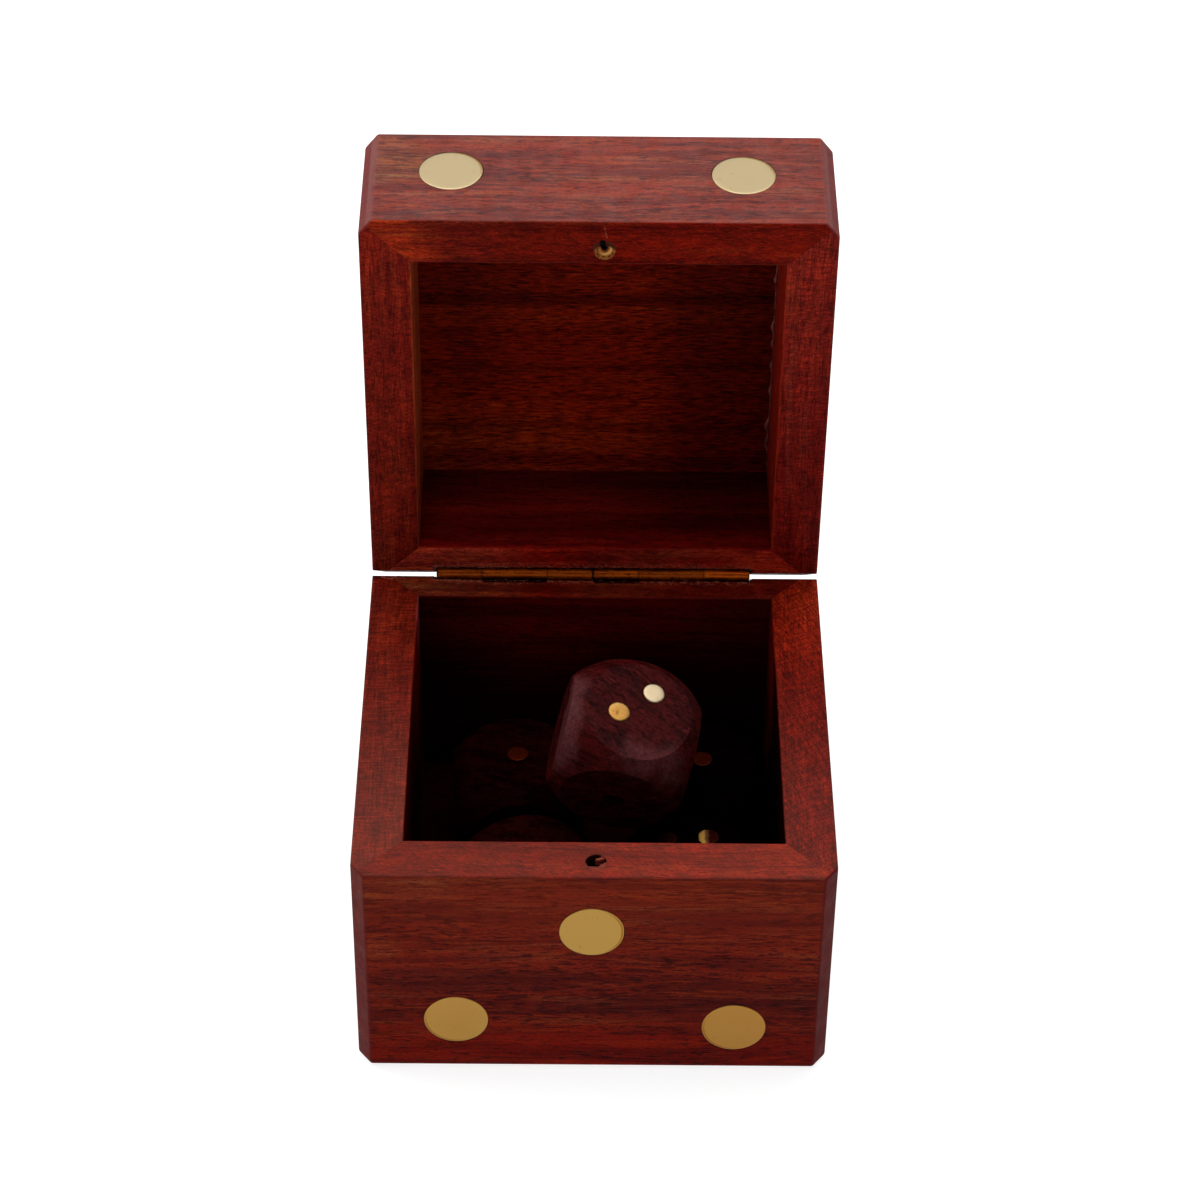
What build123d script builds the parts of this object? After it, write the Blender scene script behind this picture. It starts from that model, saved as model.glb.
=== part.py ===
"""Dice box with a hinged lid, dressed as a large die, with five wooden dice inside.

Millimetres. The origin is the centre of the underside, X to the right, Y to the back and
Z up. The box is modelled with its lid swung open against its stop.
"""

from build123d import *
from collections import namedtuple
from itertools import cycle, islice
import os

os.makedirs("parts", exist_ok=True)

# The box.
box_width = 63.5
box_depth = 63.5
base_height = 36.0
lid_height = 20.6
wall = 6.8
floor_thickness = 4.0
top_thickness = 3.4
panel_seat = 3.4  # how far the floor and the top are let into the walls
rim_gap = 0.12  # between the rims when the lid is shut
corner_cut_front = 1.7  # corner chamfer, measured on the front and back faces
corner_cut_side = 2.2  # the same chamfer, measured on the side faces
corner_round = 0.5  # edges of the corner chamfers
edge_round = 1.0  # outer edges of the floor and of the top
rim_round = 0.3  # inner and outer edges of the rims
back_bevel = 2.35  # both rims are bevelled at the back, and make a groove for the hinges
open_angle = 88.0

# The discs that make the pips of the box.
disc_diameter = 8.7
disc_thickness = 1.2
disc_from_corner = 12.7  # from a vertical edge of the box to a corner disc's centre
disc_row_base = 8.7  # from the underside to the lower row
disc_row_lid = 9.35  # from the top to the upper row
disc_below_rim = 9.95  # from the base's rim to the middle disc
top_disc_from_edge = 13.0  # from the edge of the top to its outer discs

# Hand work: how far each disc of a face is off its nominal place.
disc_wander = [(0.75, 0.6), (-0.05, -0.6), (-0.24, 0.0), (-0.75, -0.25), (0.25, 0.25)]

# The catch: a socket in the front of each rim.
catch_diameter = 2.85
catch_depth = 3.0
catch_inset_base = 2.9  # from the front face to the socket's centre
catch_inset_lid = 4.65
catch_shift_base = 0.24  # to the right of the middle
catch_shift_lid = 0.76

# The two butt hinges, end to end in the groove.
knuckle_outer = 6.5
knuckle_middle = 9.2
knuckle_gap = 0.08  # between neighbouring knuckles, along the pin
hinge_spacing = 0.15  # between the two hinges
hinge_shift = -0.25  # the pair's middle, to the right of the box's
barrel_radius = 0.965
pin_radius = 0.43
pin_proud = 0.07  # beyond the barrel at either end
bore_clearance = 0.03
leaf_thickness = 0.5
leaf_reach = 3.0  # from the pin's axis to the leaf's far edge
leaf_corner = 0.5
leaf_notch_clearance = 0.14  # from a leaf to the other leaf's knuckles
axis_from_rim_edge = 0.5  # the pin's axis, behind the base rim's back edge
barrel_clearance = 0.15  # from the barrel to the wood
mortise_margin = 0.05  # beyond the leaf's far edge
mortise_past_ends = 0.4  # beyond the two hinges, at either end

# The round-headed nails that hold the leaves.
nail_radius = 0.3
nail_clearance = 0.02
nail_length = 3.5
nail_point = 0.6
nail_head_radius = 0.6
nail_head_height = 0.4
nail_from_axis = 2.0
nail_from_middle = 6.5

# The dice.
die_edge = 18.0
die_round = 2.65  # a sphere this far outside the faces rounds the corners off
die_pip_radius = 1.5
die_pip_depth = 1.0
die_pip_spread = 2.9
die_pip_pair = 2.1  # the two's pips are closer together
die_pip_pair_shift = (0.42, -1.38)  # and are drilled off the middle of their face
die_pip_row = 4.0  # between the six's rows
top_die_rise = 9.97  # the upper die's centre, above the tops of the lower ones
top_die_shift = (1.8, 1.29)  # from the middle of the lower four
top_die_tilt = (18.19, 11.71, -9.0)

# How far a cutting shape runs past what it cuts.
past = 1.0

# Each half is modelled from its outer panel towards its rim: local z is 0 at the panel's
# outer face, and local y is the back. flip is -1 where local x runs to the left.
Half = namedtuple("Half", "name home height panel flip row catch_inset catch_shift")

hinge_length = 2 * knuckle_outer + knuckle_middle
half_depth = box_depth / 2
half_width = box_width / 2
axis_y = half_depth - back_bevel + axis_from_rim_edge
axis_z = base_height + rim_gap / 2
closed_height = base_height + rim_gap + lid_height

swing = Location((0, axis_y, axis_z)) * Location((0, 0, 0), (-open_angle, 0, 0))
lid_closed = Location((0, -axis_y, closed_height - axis_z)) * Location((0, 0, 0), (0, 180, 0))

base = Half(
    "base",
    Plane.XY,
    base_height,
    floor_thickness,
    1,
    disc_row_base,
    catch_inset_base,
    catch_shift_base,
)
lid = Half(
    "lid",
    Plane(swing * lid_closed),
    lid_height,
    top_thickness,
    -1,
    disc_row_lid,
    catch_inset_lid,
    catch_shift_lid,
)


def local_plane(half, origin, x_dir, z_dir):
    """A plane given in a half's own coordinates."""
    return Plane(half.home * Plane(origin, x_dir, z_dir))


def save(piece, name):
    """Label a finished piece and write it to its file."""
    piece.label = name
    export_step(piece, f"parts/{name}.step")


# --- Faces of the halves -------------------------------------------------------------

Side = namedtuple("Side", "origin along half_length")


def side_of(half, name):
    """Where a side face stands on the panel's plane, and which way it runs."""
    sides = {
        "front": Side((0, -half_depth), (1, 0), half_width),
        "back": Side((0, half_depth), (-1, 0), half_width),
        "right": Side((half.flip * half_width, 0), (0, half.flip), half_depth),
        "left": Side((-half.flip * half_width, 0), (0, -half.flip), half_depth),
    }
    return sides[name]


def face_plane(half, name):
    """The outer face of a side: x runs along it, y towards the rim, z outwards."""
    side = side_of(half, name)
    outwards = (side.along[1], -side.along[0], 0)
    return local_plane(half, (*side.origin, 0), (*side.along, 0), outwards)


def disc_places(half, name):
    """Centres of the discs on one face, after the spots of a die."""
    low, middle = half.row, half.height - disc_below_rim
    right = side_of(half, name).half_length - disc_from_corner
    layouts = {
        ("base", "front"): [(-right, low), (right, low), (0, middle)],
        ("lid", "front"): [(-right, low), (right, low)],
        ("base", "left"): [(-right, low), (0, middle)],
        ("lid", "left"): [(right, low)],
        ("base", "right"): [(-right, low), (right, low)],
        ("lid", "right"): [(-right, low), (right, low)],
        ("base", "back"): [(-right, low)],
        ("lid", "back"): [(right, low)],
    }
    wander = cycle(disc_wander)
    if half.name == "lid":
        wander = islice(wander, len(layouts["base", name]), None)
    return [
        (half.flip * (x + dx), y + dy)
        for (x, y), (dx, dy) in zip(layouts[half.name, name], wander)
    ]


def top_disc_places():
    """Centres of the six discs on the top."""
    x = half_width - top_disc_from_edge
    y = half_depth - top_disc_from_edge
    rows = [(-x, -y), (x, -y), (-x, 0), (x, 0), (-x, y), (x, y)]
    return [(a + dx, b + dy) for (a, b), (dx, dy) in zip(rows, cycle(disc_wander))]


# --- Hinge layout --------------------------------------------------------------------

hinge_offset = (hinge_length + hinge_spacing) / 2
hinge_centres = {"left": hinge_shift - hinge_offset, "right": hinge_shift + hinge_offset}
nail_places = [
    centre + offset
    for centre in hinge_centres.values()
    for offset in (-nail_from_middle, nail_from_middle)
]
mortise_length = 2 * (hinge_offset + hinge_length / 2 + mortise_past_ends)
leaf_underside = -barrel_radius
leaf_outside = leaf_underside + leaf_thickness


def leaf_plane(half, centre, height=0.0):
    """Parallel to the rim's bevel, through the pin's axis: y runs away from the axis."""
    along, back, up = half.flip * centre, axis_y, half.height + rim_gap / 2
    lying = local_plane(half, (along, back, up), (1, 0, 0), (0, 1, 1))
    return lying.offset(height)


def across_axis(half, centre, start):
    """Square to the pin's axis, at a distance along it from a hinge's centre."""
    lying = leaf_plane(half, centre)
    return Plane(lying.from_local_coords((start, 0, 0)), x_dir=lying.y_dir, z_dir=lying.x_dir)


def knuckle_spans(outer):
    """Start and end of each knuckle along the pin, from the hinge's middle."""
    middle = knuckle_middle / 2
    if outer:
        return [(-hinge_length / 2, -middle - knuckle_gap), (middle + knuckle_gap, hinge_length / 2)]
    return [(-middle, middle)]


def leaf_has_outer_knuckles(half, hinge):
    """The left hinge has its outer knuckles on the base, the right one on the lid."""
    return (half.name == "base") == (hinge == "left")


# --- Walls ---------------------------------------------------------------------------


def corner_outline():
    """The half's outline, with the corner chamfers."""
    x, y = half_width, half_depth
    return [
        (-x + corner_cut_front, -y),
        (x - corner_cut_front, -y),
        (x, -y + corner_cut_side),
        (x, y - corner_cut_side),
        (x - corner_cut_front, y),
        (-x + corner_cut_front, y),
        (-x, y - corner_cut_side),
        (-x, -y + corner_cut_side),
    ]


def frame_stock(half):
    """The four walls of one half in one piece, with all that is cut into them."""
    inner = (box_width - 2 * wall, box_depth - 2 * wall)
    with BuildPart() as stock:
        with BuildSketch(half.home):
            Polygon(*corner_outline(), align=None)
        extrude(amount=half.height)
        upright = Axis(half.home.origin, half.home.z_dir)
        fillet(stock.edges().filter_by(upright), radius=corner_round)
        fillet(stock.faces().sort_by(upright)[0].edges(), radius=edge_round)
        fillet(stock.faces().sort_by(upright)[-1].edges(), radius=rim_round)
        with BuildSketch(half.home):
            Rectangle(*inner)
        extrude(amount=half.height, mode=Mode.SUBTRACT)
        rim = stock.faces().sort_by(upright)[-1]
        fillet(rim.inner_wires()[0].edges(), radius=rim_round)
        with BuildSketch(half.home):
            Rectangle(inner[0] + 2 * panel_seat, inner[1] + 2 * panel_seat)
        extrude(amount=half.panel, mode=Mode.SUBTRACT)

        # The bevel along the back of the rim.
        with BuildSketch(local_plane(half, (-half_width - past, 0, 0), (0, 1, 0), (1, 0, 0))):
            Polygon(
                (half_depth - back_bevel - past, half.height + past),
                (half_depth + past, half.height - back_bevel - past),
                (half_depth + past, half.height + past),
                align=None,
            )
        extrude(amount=box_width + 2 * past, mode=Mode.SUBTRACT)

        # The hinges' mortise, and the round trough under their barrels.
        with BuildSketch(leaf_plane(half, hinge_shift, leaf_underside)):
            with Locations((0, (leaf_reach + mortise_margin - past) / 2)):
                Rectangle(mortise_length, leaf_reach + mortise_margin + past)
        extrude(amount=barrel_radius + past, mode=Mode.SUBTRACT)
        with BuildSketch(across_axis(half, hinge_shift, -mortise_length / 2)):
            Circle(barrel_radius + barrel_clearance)
        extrude(amount=mortise_length, mode=Mode.SUBTRACT)

        for place in nail_places:
            with BuildSketch(leaf_plane(half, place, leaf_outside)):
                with Locations((0, nail_from_axis)):
                    Circle(nail_radius + nail_clearance)
            extrude(amount=-nail_length - nail_clearance, mode=Mode.SUBTRACT)

        # The catch's socket.
        with BuildSketch(half.home.offset(half.height)):
            with Locations((half.flip * half.catch_shift, half.catch_inset - half_depth)):
                Circle(catch_diameter / 2)
        extrude(amount=-catch_depth, mode=Mode.SUBTRACT)

        for name in ("front", "back", "left", "right"):
            with BuildSketch(face_plane(half, name)):
                with Locations(*disc_places(half, name)):
                    Circle(disc_diameter / 2)
            extrude(amount=-disc_thickness, mode=Mode.SUBTRACT)
    return stock.part


def wall_piece(half, name, stock):
    """One wall, cut from the stock at the mitres."""
    side = side_of(half, name)
    wide, narrow = side.half_length + past, side.half_length - wall - past
    foot = local_plane(half, (*side.origin, -past), (*side.along, 0), (0, 0, 1))
    with BuildPart() as piece:
        add(stock)
        with BuildSketch(foot):
            Polygon(
                (-wide, -past),
                (wide, -past),
                (narrow, wall + past),
                (-narrow, wall + past),
                align=None,
            )
        extrude(amount=half.height + 2 * past, mode=Mode.INTERSECT)
    return piece.part


# --- Nails, leaves and pins ----------------------------------------------------------


def leaf_nails(half):
    """The four nails of one half, one group of separate solids."""
    head_sphere = (nail_head_radius**2 + nail_head_height**2) / (2 * nail_head_height)
    with BuildPart() as nails:
        for place in nail_places:
            lying = leaf_plane(half, place, leaf_outside)
            foot = lying.from_local_coords((0, nail_from_axis, 0))
            profile = Plane(foot, x_dir=lying.x_dir, z_dir=-lying.y_dir)
            with BuildSketch(profile):
                with BuildLine():
                    Polyline(
                        (0, nail_head_height),
                        (0, -nail_length),
                        (nail_radius, nail_point - nail_length),
                        (nail_radius, 0),
                        (nail_head_radius, 0),
                    )
                    RadiusArc((nail_head_radius, 0), (0, nail_head_height), -head_sphere)
                make_face()
            revolve(axis=Axis(foot, lying.z_dir))
    return nails.part


def hinge_leaf(half, hinge):
    """A leaf with its knuckles, notched where the other leaf's knuckles turn."""
    outer = leaf_has_outer_knuckles(half, hinge)
    centre = hinge_centres[hinge]
    plate_plane = leaf_plane(half, centre, leaf_underside)
    with BuildPart() as leaf:
        with BuildSketch(plate_plane):
            with Locations((0, leaf_reach / 2)):
                Rectangle(hinge_length, leaf_reach)
        extrude(amount=leaf_thickness)
        far_corners = leaf.edges().filter_by(Axis(plate_plane.origin, plate_plane.z_dir))
        fillet(far_corners.sort_by(Axis(plate_plane.origin, plate_plane.y_dir))[-2:], leaf_corner)
        with BuildSketch(plate_plane):
            for start, end in knuckle_spans(not outer):
                with Locations(((start + end) / 2, 0)):
                    Rectangle(
                        end - start + 2 * knuckle_gap,
                        2 * (barrel_radius + leaf_notch_clearance),
                    )
        extrude(amount=leaf_thickness, mode=Mode.SUBTRACT)
        for start, end in knuckle_spans(outer):
            with BuildSketch(across_axis(half, centre, start)):
                Circle(barrel_radius)
            extrude(amount=end - start)
        with BuildSketch(across_axis(half, centre, -hinge_length / 2 - past)):
            Circle(pin_radius + bore_clearance)
        extrude(amount=hinge_length + 2 * past, mode=Mode.SUBTRACT)
        with BuildSketch(leaf_plane(half, centre)):
            with Locations((-nail_from_middle, nail_from_axis), (nail_from_middle, nail_from_axis)):
                Circle(nail_radius + nail_clearance)
        extrude(amount=leaf_underside - past, mode=Mode.SUBTRACT)
    return leaf.part


def hinge_pin(hinge):
    """The pin of one hinge."""
    start = (hinge_centres[hinge] - hinge_length / 2 - pin_proud, axis_y, axis_z)
    with BuildPart() as pin:
        with BuildSketch(Plane(start, x_dir=(0, 1, 0), z_dir=(1, 0, 0))):
            Circle(pin_radius)
        extrude(amount=hinge_length + 2 * pin_proud)
    return pin.part


# --- Dice ----------------------------------------------------------------------------

# Where each value is on a die whose one is up, and the turn that brings a value up.
die_faces = {
    1: ((0, 0, 1), (1, 0, 0)),
    2: ((0, -1, 0), (1, 0, 0)),
    3: ((1, 0, 0), (0, 1, 0)),
    4: ((-1, 0, 0), (0, 1, 0)),
    5: ((0, 1, 0), (1, 0, 0)),
    6: ((0, 0, -1), (1, 0, 0)),
}
die_turns = {1: (0, 0, 0), 2: (90, 0, 180), 4: (0, 90, 0)}


def pip_places(value):
    """Centres of the pips on a face."""
    wide, pair, row = die_pip_spread, die_pip_pair, die_pip_row
    pair_x, pair_y = die_pip_pair_shift
    corners = [(-wide, -wide), (wide, wide), (-wide, wide), (wide, -wide)]
    layouts = {
        1: [(0, 0)],
        2: [(pair_x - pair, pair_y - pair), (pair_x + pair, pair_y + pair)],
        3: [(0, 0), *corners[:2]],
        4: corners,
        5: [(0, 0), *corners],
        6: [(x, y) for x in (-wide, wide) for y in (-row, 0, row)],
    }
    return layouts[value]


def pip_face(place, value):
    """The plane of the face that carries a value."""
    outwards, x_dir = die_faces[value]
    centre = tuple(die_edge / 2 * step for step in outwards)
    return Plane(place * Plane(centre, x_dir, outwards))


def die_body(place):
    """A die with rounded corners and the seats of its pips."""
    with BuildPart(place) as body:
        Box(die_edge, die_edge, die_edge)
        Sphere(die_edge / 2 + die_round, mode=Mode.INTERSECT)
        for value in die_faces:
            with BuildSketch(pip_face(place, value)):
                with Locations(*pip_places(value)):
                    Circle(die_pip_radius)
            extrude(amount=-die_pip_depth, mode=Mode.SUBTRACT)
    return body.part


def die_pips(place):
    """The brass pips of a die, flush with its faces."""
    with BuildPart() as pips:
        for value in die_faces:
            with BuildSketch(pip_face(place, value)):
                with Locations(*pip_places(value)):
                    Circle(die_pip_radius)
            extrude(amount=-die_pip_depth)
    return pips.part


def lower_dice_places():
    """The four dice on the floor: their slack in the box is shared out by these parts."""
    slack_x = box_width - 2 * wall - 2 * die_edge
    slack_y = box_depth - 2 * wall - 2 * die_edge
    left, right = wall + die_edge / 2 - half_width, half_width - wall - die_edge / 2
    front, back = wall + die_edge / 2 - half_depth, half_depth - wall - die_edge / 2
    height = floor_thickness + die_edge / 2
    return {
        "back_left": ((left + 0.38 * slack_x, back - 0.615 * slack_y, height), 3, 1),
        "back_right": ((right - 0.055 * slack_x, back - 0.67 * slack_y, height), -2, 1),
        "front_left": ((left + 0.52 * slack_x, front + 0.24 * slack_y, height), 2, 1),
        "front_right": ((right - 0.21 * slack_x, front + 0.26 * slack_y, height), 4, 4),
    }


def top_die_centre():
    """The upper die lies across the gaps between the lower ones."""
    centres = [centre for centre, _, _ in lower_dice_places().values()]
    x = sum(centre[0] for centre in centres) / len(centres) + top_die_shift[0]
    y = sum(centre[1] for centre in centres) / len(centres) + top_die_shift[1]
    return (x, y, floor_thickness + die_edge + top_die_rise)


# --- The pieces ----------------------------------------------------------------------

for half in (base, lid):
    stock = frame_stock(half)
    for name in ("front", "back", "left", "right"):
        save(wall_piece(half, name, stock), f"{half.name}_{name}_wall")

        with BuildPart() as discs:
            with BuildSketch(face_plane(half, name)):
                with Locations(*disc_places(half, name)):
                    Circle(disc_diameter / 2)
            extrude(amount=-disc_thickness)
        save(discs.part, f"{half.name}_{name}_discs")

    for hinge in hinge_centres:
        save(hinge_leaf(half, hinge), f"{hinge}_hinge_{half.name}_leaf")
    save(leaf_nails(half), f"{half.name}_leaf_nails")

panel_width = box_width - 2 * wall + 2 * panel_seat
panel_depth = box_depth - 2 * wall + 2 * panel_seat

with BuildPart() as base_floor:
    with BuildSketch(base.home):
        Rectangle(panel_width, panel_depth)
    extrude(amount=floor_thickness)
save(base_floor.part, "base_floor")

with BuildPart() as top_discs:
    with BuildSketch(lid.home):
        with Locations(*top_disc_places()):
            Circle(disc_diameter / 2)
    extrude(amount=disc_thickness)
save(top_discs.part, "lid_top_discs")

with BuildPart() as top_panel:
    with BuildSketch(lid.home):
        Rectangle(panel_width, panel_depth)
    extrude(amount=top_thickness)
    with BuildSketch(lid.home):
        with Locations(*top_disc_places()):
            Circle(disc_diameter / 2)
    extrude(amount=disc_thickness, mode=Mode.SUBTRACT)
save(top_panel.part, "lid_top_panel")

for hinge in hinge_centres:
    save(hinge_pin(hinge), f"{hinge}_hinge_pin")

for name, (centre, turn, value) in lower_dice_places().items():
    place = Plane(Location(centre, (0, 0, turn)) * Location((0, 0, 0), die_turns[value]))
    save(die_body(place), f"die_{name}")
    save(die_pips(place), f"die_{name}_pips")

top_place = Plane(Location(top_die_centre(), top_die_tilt) * Location((0, 0, 0), die_turns[2]))
save(die_body(top_place), "die_top")
save(die_pips(top_place), "die_top_pips")
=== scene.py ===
"""The look of the dice box: its camera, light, woods and brasses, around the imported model.

Lengths are millimetres until they reach Blender, which works in metres.
"""

from collections import namedtuple
import math
import random

import bmesh
import bpy
import numpy
from mathutils import Matrix, Vector


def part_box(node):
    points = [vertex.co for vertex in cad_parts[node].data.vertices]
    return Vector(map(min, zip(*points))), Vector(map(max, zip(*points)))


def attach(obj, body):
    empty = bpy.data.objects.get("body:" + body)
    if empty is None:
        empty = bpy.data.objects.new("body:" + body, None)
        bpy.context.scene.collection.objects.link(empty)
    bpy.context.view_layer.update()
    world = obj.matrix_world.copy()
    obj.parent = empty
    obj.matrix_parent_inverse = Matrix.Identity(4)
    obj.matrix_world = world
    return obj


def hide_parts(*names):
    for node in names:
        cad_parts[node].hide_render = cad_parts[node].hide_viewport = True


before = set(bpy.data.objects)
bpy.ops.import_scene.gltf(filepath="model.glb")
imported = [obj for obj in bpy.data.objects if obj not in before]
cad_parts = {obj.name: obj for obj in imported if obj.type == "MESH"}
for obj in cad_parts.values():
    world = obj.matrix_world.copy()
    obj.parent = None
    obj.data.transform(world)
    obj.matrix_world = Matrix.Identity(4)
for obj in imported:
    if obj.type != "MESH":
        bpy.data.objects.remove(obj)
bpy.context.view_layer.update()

MM = 0.001


def add_object(name, data):
    thing = bpy.data.objects.new(name, data)
    bpy.context.scene.collection.objects.link(thing)
    return thing


# --- Camera ---

CAMERA_PLACE = Vector((-0.00264, -0.36078, 0.35765))
CAMERA_PITCH = math.radians(-39.864)
CAMERA_YAW = math.radians(0.503)
CAMERA_ROLL = math.radians(0.779)
CAMERA_LENS = 106.29


def make_camera():
    data = bpy.data.cameras.new("camera")
    data.lens = CAMERA_LENS
    data.sensor_width = 36.0
    data.clip_start = 0.01
    camera = add_object("camera", data)
    turn = Matrix.Rotation(-CAMERA_YAW, 4, "Z") @ Matrix.Rotation(math.pi / 2 + CAMERA_PITCH, 4, "X")
    camera.matrix_world = Matrix.Translation(CAMERA_PLACE) @ turn @ Matrix.Rotation(CAMERA_ROLL, 4, "Z")
    bpy.context.scene.camera = camera


# --- Light and floor ---


def softbox(name, place, size, watts, aim=(0, 0, 0.04)):
    data = bpy.data.lights.new(name, "AREA")
    data.shape = "RECTANGLE"
    data.size, data.size_y = size
    data.energy = watts
    lamp = add_object(name, data)
    lamp.location = place
    lamp.rotation_euler = (Vector(aim) - Vector(place)).to_track_quat("-Z", "Y").to_euler()


def make_world(ambient, backdrop):
    """A dim even light, behind a backdrop that the camera sees as nearly white."""
    world = bpy.data.worlds.new("studio")
    world.use_nodes = True
    tree = world.node_tree
    light, shown = tree.nodes["Background"], tree.nodes.new("ShaderNodeBackground")
    for background, strength in ((light, ambient), (shown, backdrop)):
        background.inputs["Color"].default_value = (1, 1, 1, 1)
        background.inputs["Strength"].default_value = strength
    path = tree.nodes.new("ShaderNodeLightPath")
    mix = tree.nodes.new("ShaderNodeMixShader")
    tree.links.new(path.outputs["Is Camera Ray"], mix.inputs[0])
    tree.links.new(light.outputs[0], mix.inputs[1])
    tree.links.new(shown.outputs[0], mix.inputs[2])
    tree.links.new(mix.outputs[0], tree.nodes["World Output"].inputs[0])
    bpy.context.scene.world = world


def make_floor(reach=3.0):
    mesh = bpy.data.meshes.new("floor")
    corners = [(-reach, -reach, 0), (reach, -reach, 0), (reach, reach, 0), (-reach, reach, 0)]
    mesh.from_pydata(corners, [], [(0, 1, 2, 3)])
    paint = Paint("floor_paint", specular=0.1)
    paint.set("Emission Color", (1.0, 1.0, 1.0))
    paint.set("Emission Strength", 0.84)
    mesh.materials.append(paint.finish((0.34, 0.34, 0.34), 0.9))
    floor = add_object("floor", mesh)


def make_studio():
    bpy.context.scene.view_settings.view_transform = "Standard"
    make_world(ambient=0.06, backdrop=1.0)
    softbox("top_light", (0.0, 0.27, 1.0), (0.9, 0.8), 11.0)
    softbox("back_light", (0.0, 1.0, 0.85), (1.6, 0.5), 4.0)
    softbox("front_light", (-0.2, -1.1, 0.7), (0.9, 0.6), 3.0)
    softbox("left_light", (-0.95, 0.35, 0.75), (0.7, 0.5), 6.0)
    softbox("right_light", (0.95, 0.15, 0.6), (0.6, 0.5), 1.5)
    make_floor()


# --- Node materials ---


class Value:
    """What a material works out at each point: a number, or a place in mm."""

    def __init__(self, paint, socket):
        self.paint = paint
        self.socket = socket

    def math(self, operation, other=0.0):
        return self.paint.value("Math", {0: self, 1: other}, operation=operation)

    def __add__(self, other):
        return self.math("ADD", other)

    def __sub__(self, other):
        return self.math("SUBTRACT", other)

    def __rsub__(self, other):
        return self.paint.value("Math", {0: other, 1: self}, operation="SUBTRACT")

    def __mul__(self, other):
        return self.math("MULTIPLY", other)

    def __truediv__(self, other):
        return self * (1 / other)

    def __abs__(self):
        return self.math("ABSOLUTE")

    def larger(self, other):
        return self.math("MAXIMUM", other)

    def ramp(self, low, high, start=0.0, end=1.0):
        values = {"Value": self, "From Min": low, "From Max": high, "To Min": start, "To Max": end}
        return self.paint.value("MapRange", values, interpolation_type="SMOOTHSTEP")

    def fall(self, low, high, top=1.0):
        return self.ramp(low, high, top, 0.0)

    def between(self, a, b):
        """A colour that passes from one to another as the number grows from 0 to 1."""
        return self.paint.mix(self, a, b)

    def fade(self, stops):
        """A tint that passes from stop to stop, each (place, colour), as the number grows."""
        colour = stops[0][1]
        for (start, _), (end, following) in zip(stops, stops[1:]):
            colour = self.ramp(start, end).between(colour, following)
        return colour

    def parts(self):
        return [Value(self.paint, part) for part in self.paint.node("SeparateXYZ", {0: self}).outputs]

    def vector(self, operation, other):
        return self.paint.value("VectorMath", {0: self, 1: other}, operation=operation)

    def dot(self, other):
        return self.paint.value("VectorMath", {0: self, 1: other}, "Value", operation="DOT_PRODUCT")

    def turned(self, turn, place=(0, 0, 0), scale=1.0):
        values = {"Vector": self, "Location": place, "Rotation": turn, "Scale": [scale] * 3}
        return self.paint.value("Mapping", values, vector_type="POINT")

    def noise(self, stretch, detail=2.0, roughness=0.5, output=0):
        """Soft noise at a place; the stretch is how often it changes in a mm, along x, y and z."""
        stretch = stretch if isinstance(stretch, tuple) else [stretch] * 3
        values = {"Vector": self.vector("MULTIPLY", stretch), "Scale": 1.0}
        values.update({"Detail": detail, "Roughness": roughness})
        return self.paint.value("TexNoise", values, output)


class Colour(Value):
    """A colour; multiplied by another it is tinted."""

    def mix(self, amount, other, blend="MIX"):
        return self.paint.mix(amount, self, other, blend)

    def __mul__(self, other):
        return self.mix(1.0, other, "MULTIPLY")


class Paint:
    """A material in the making."""

    def __init__(self, name, roughness=0.5, metallic=0.0, specular=0.5):
        self.material = bpy.data.materials.new(name)
        self.material.use_nodes = True
        self.tree = self.material.node_tree
        self.shader = self.tree.nodes["Principled BSDF"]
        self.set("Roughness", roughness)
        self.set("Metallic", metallic)
        self.set("Specular IOR Level", specular)

    def set(self, name, value):
        self.put(self.shader.inputs[name], value)

    def put(self, socket, value):
        if isinstance(value, Value):
            self.tree.links.new(value.socket, socket)
        elif socket.type == "RGBA" and len(value) == 3:
            socket.default_value = (*value, 1.0)
        else:
            socket.default_value = value

    def node(self, kind, values, **settings):
        node = self.tree.nodes.new("ShaderNode" + kind)
        for key, value in settings.items():
            setattr(node, key, value)
        for key, value in values.items():
            self.put(node.inputs[key], value)
        return node

    def value(self, kind, values, output=0, **settings):
        return Value(self, self.node(kind, values, **settings).outputs[output])

    def mix(self, amount, a, b, blend="MIX"):
        node = self.node("Mix", {0: amount, 6: a, 7: b}, data_type="RGBA", blend_type=blend)
        return Colour(self, node.outputs[2])

    def point(self, turn=0.0, pivot=(0, 0, 0)):
        """The object's own coordinates in mm, turned about an axis along x."""
        seen = self.value("TexCoord", {}, "Object")
        pivot = Vector(pivot)
        place = pivot - Matrix.Rotation(turn, 3, "X") @ pivot
        return seen.turned((turn, 0, 0), place, 1000)

    def uv(self, name):
        return self.value("UVMap", {}, uv_map=name).parts()[:2]

    def bump(self, height, distance):
        self.set("Normal", self.value("Bump", {"Height": height, "Distance": distance * MM}))

    def finish(self, colour, roughness):
        self.set("Base Color", colour)
        self.set("Roughness", roughness)
        return self.material


# --- The box's measures, closed, in mm ---

HALF = 31.75
INNER = 24.95
BASE_RIM = 36.0
LID_RIM = 36.12
TOP = 56.72
CUT_FRONT = 1.7
CUT_SIDE = 2.2
OPEN_ANGLE = math.radians(88)
AXIS = (0.0, 29.9, 36.06)
BASE_CATCH = (0.24, -28.85)
LID_CATCH = (0.76, -27.1)


# --- Woods ---

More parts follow.
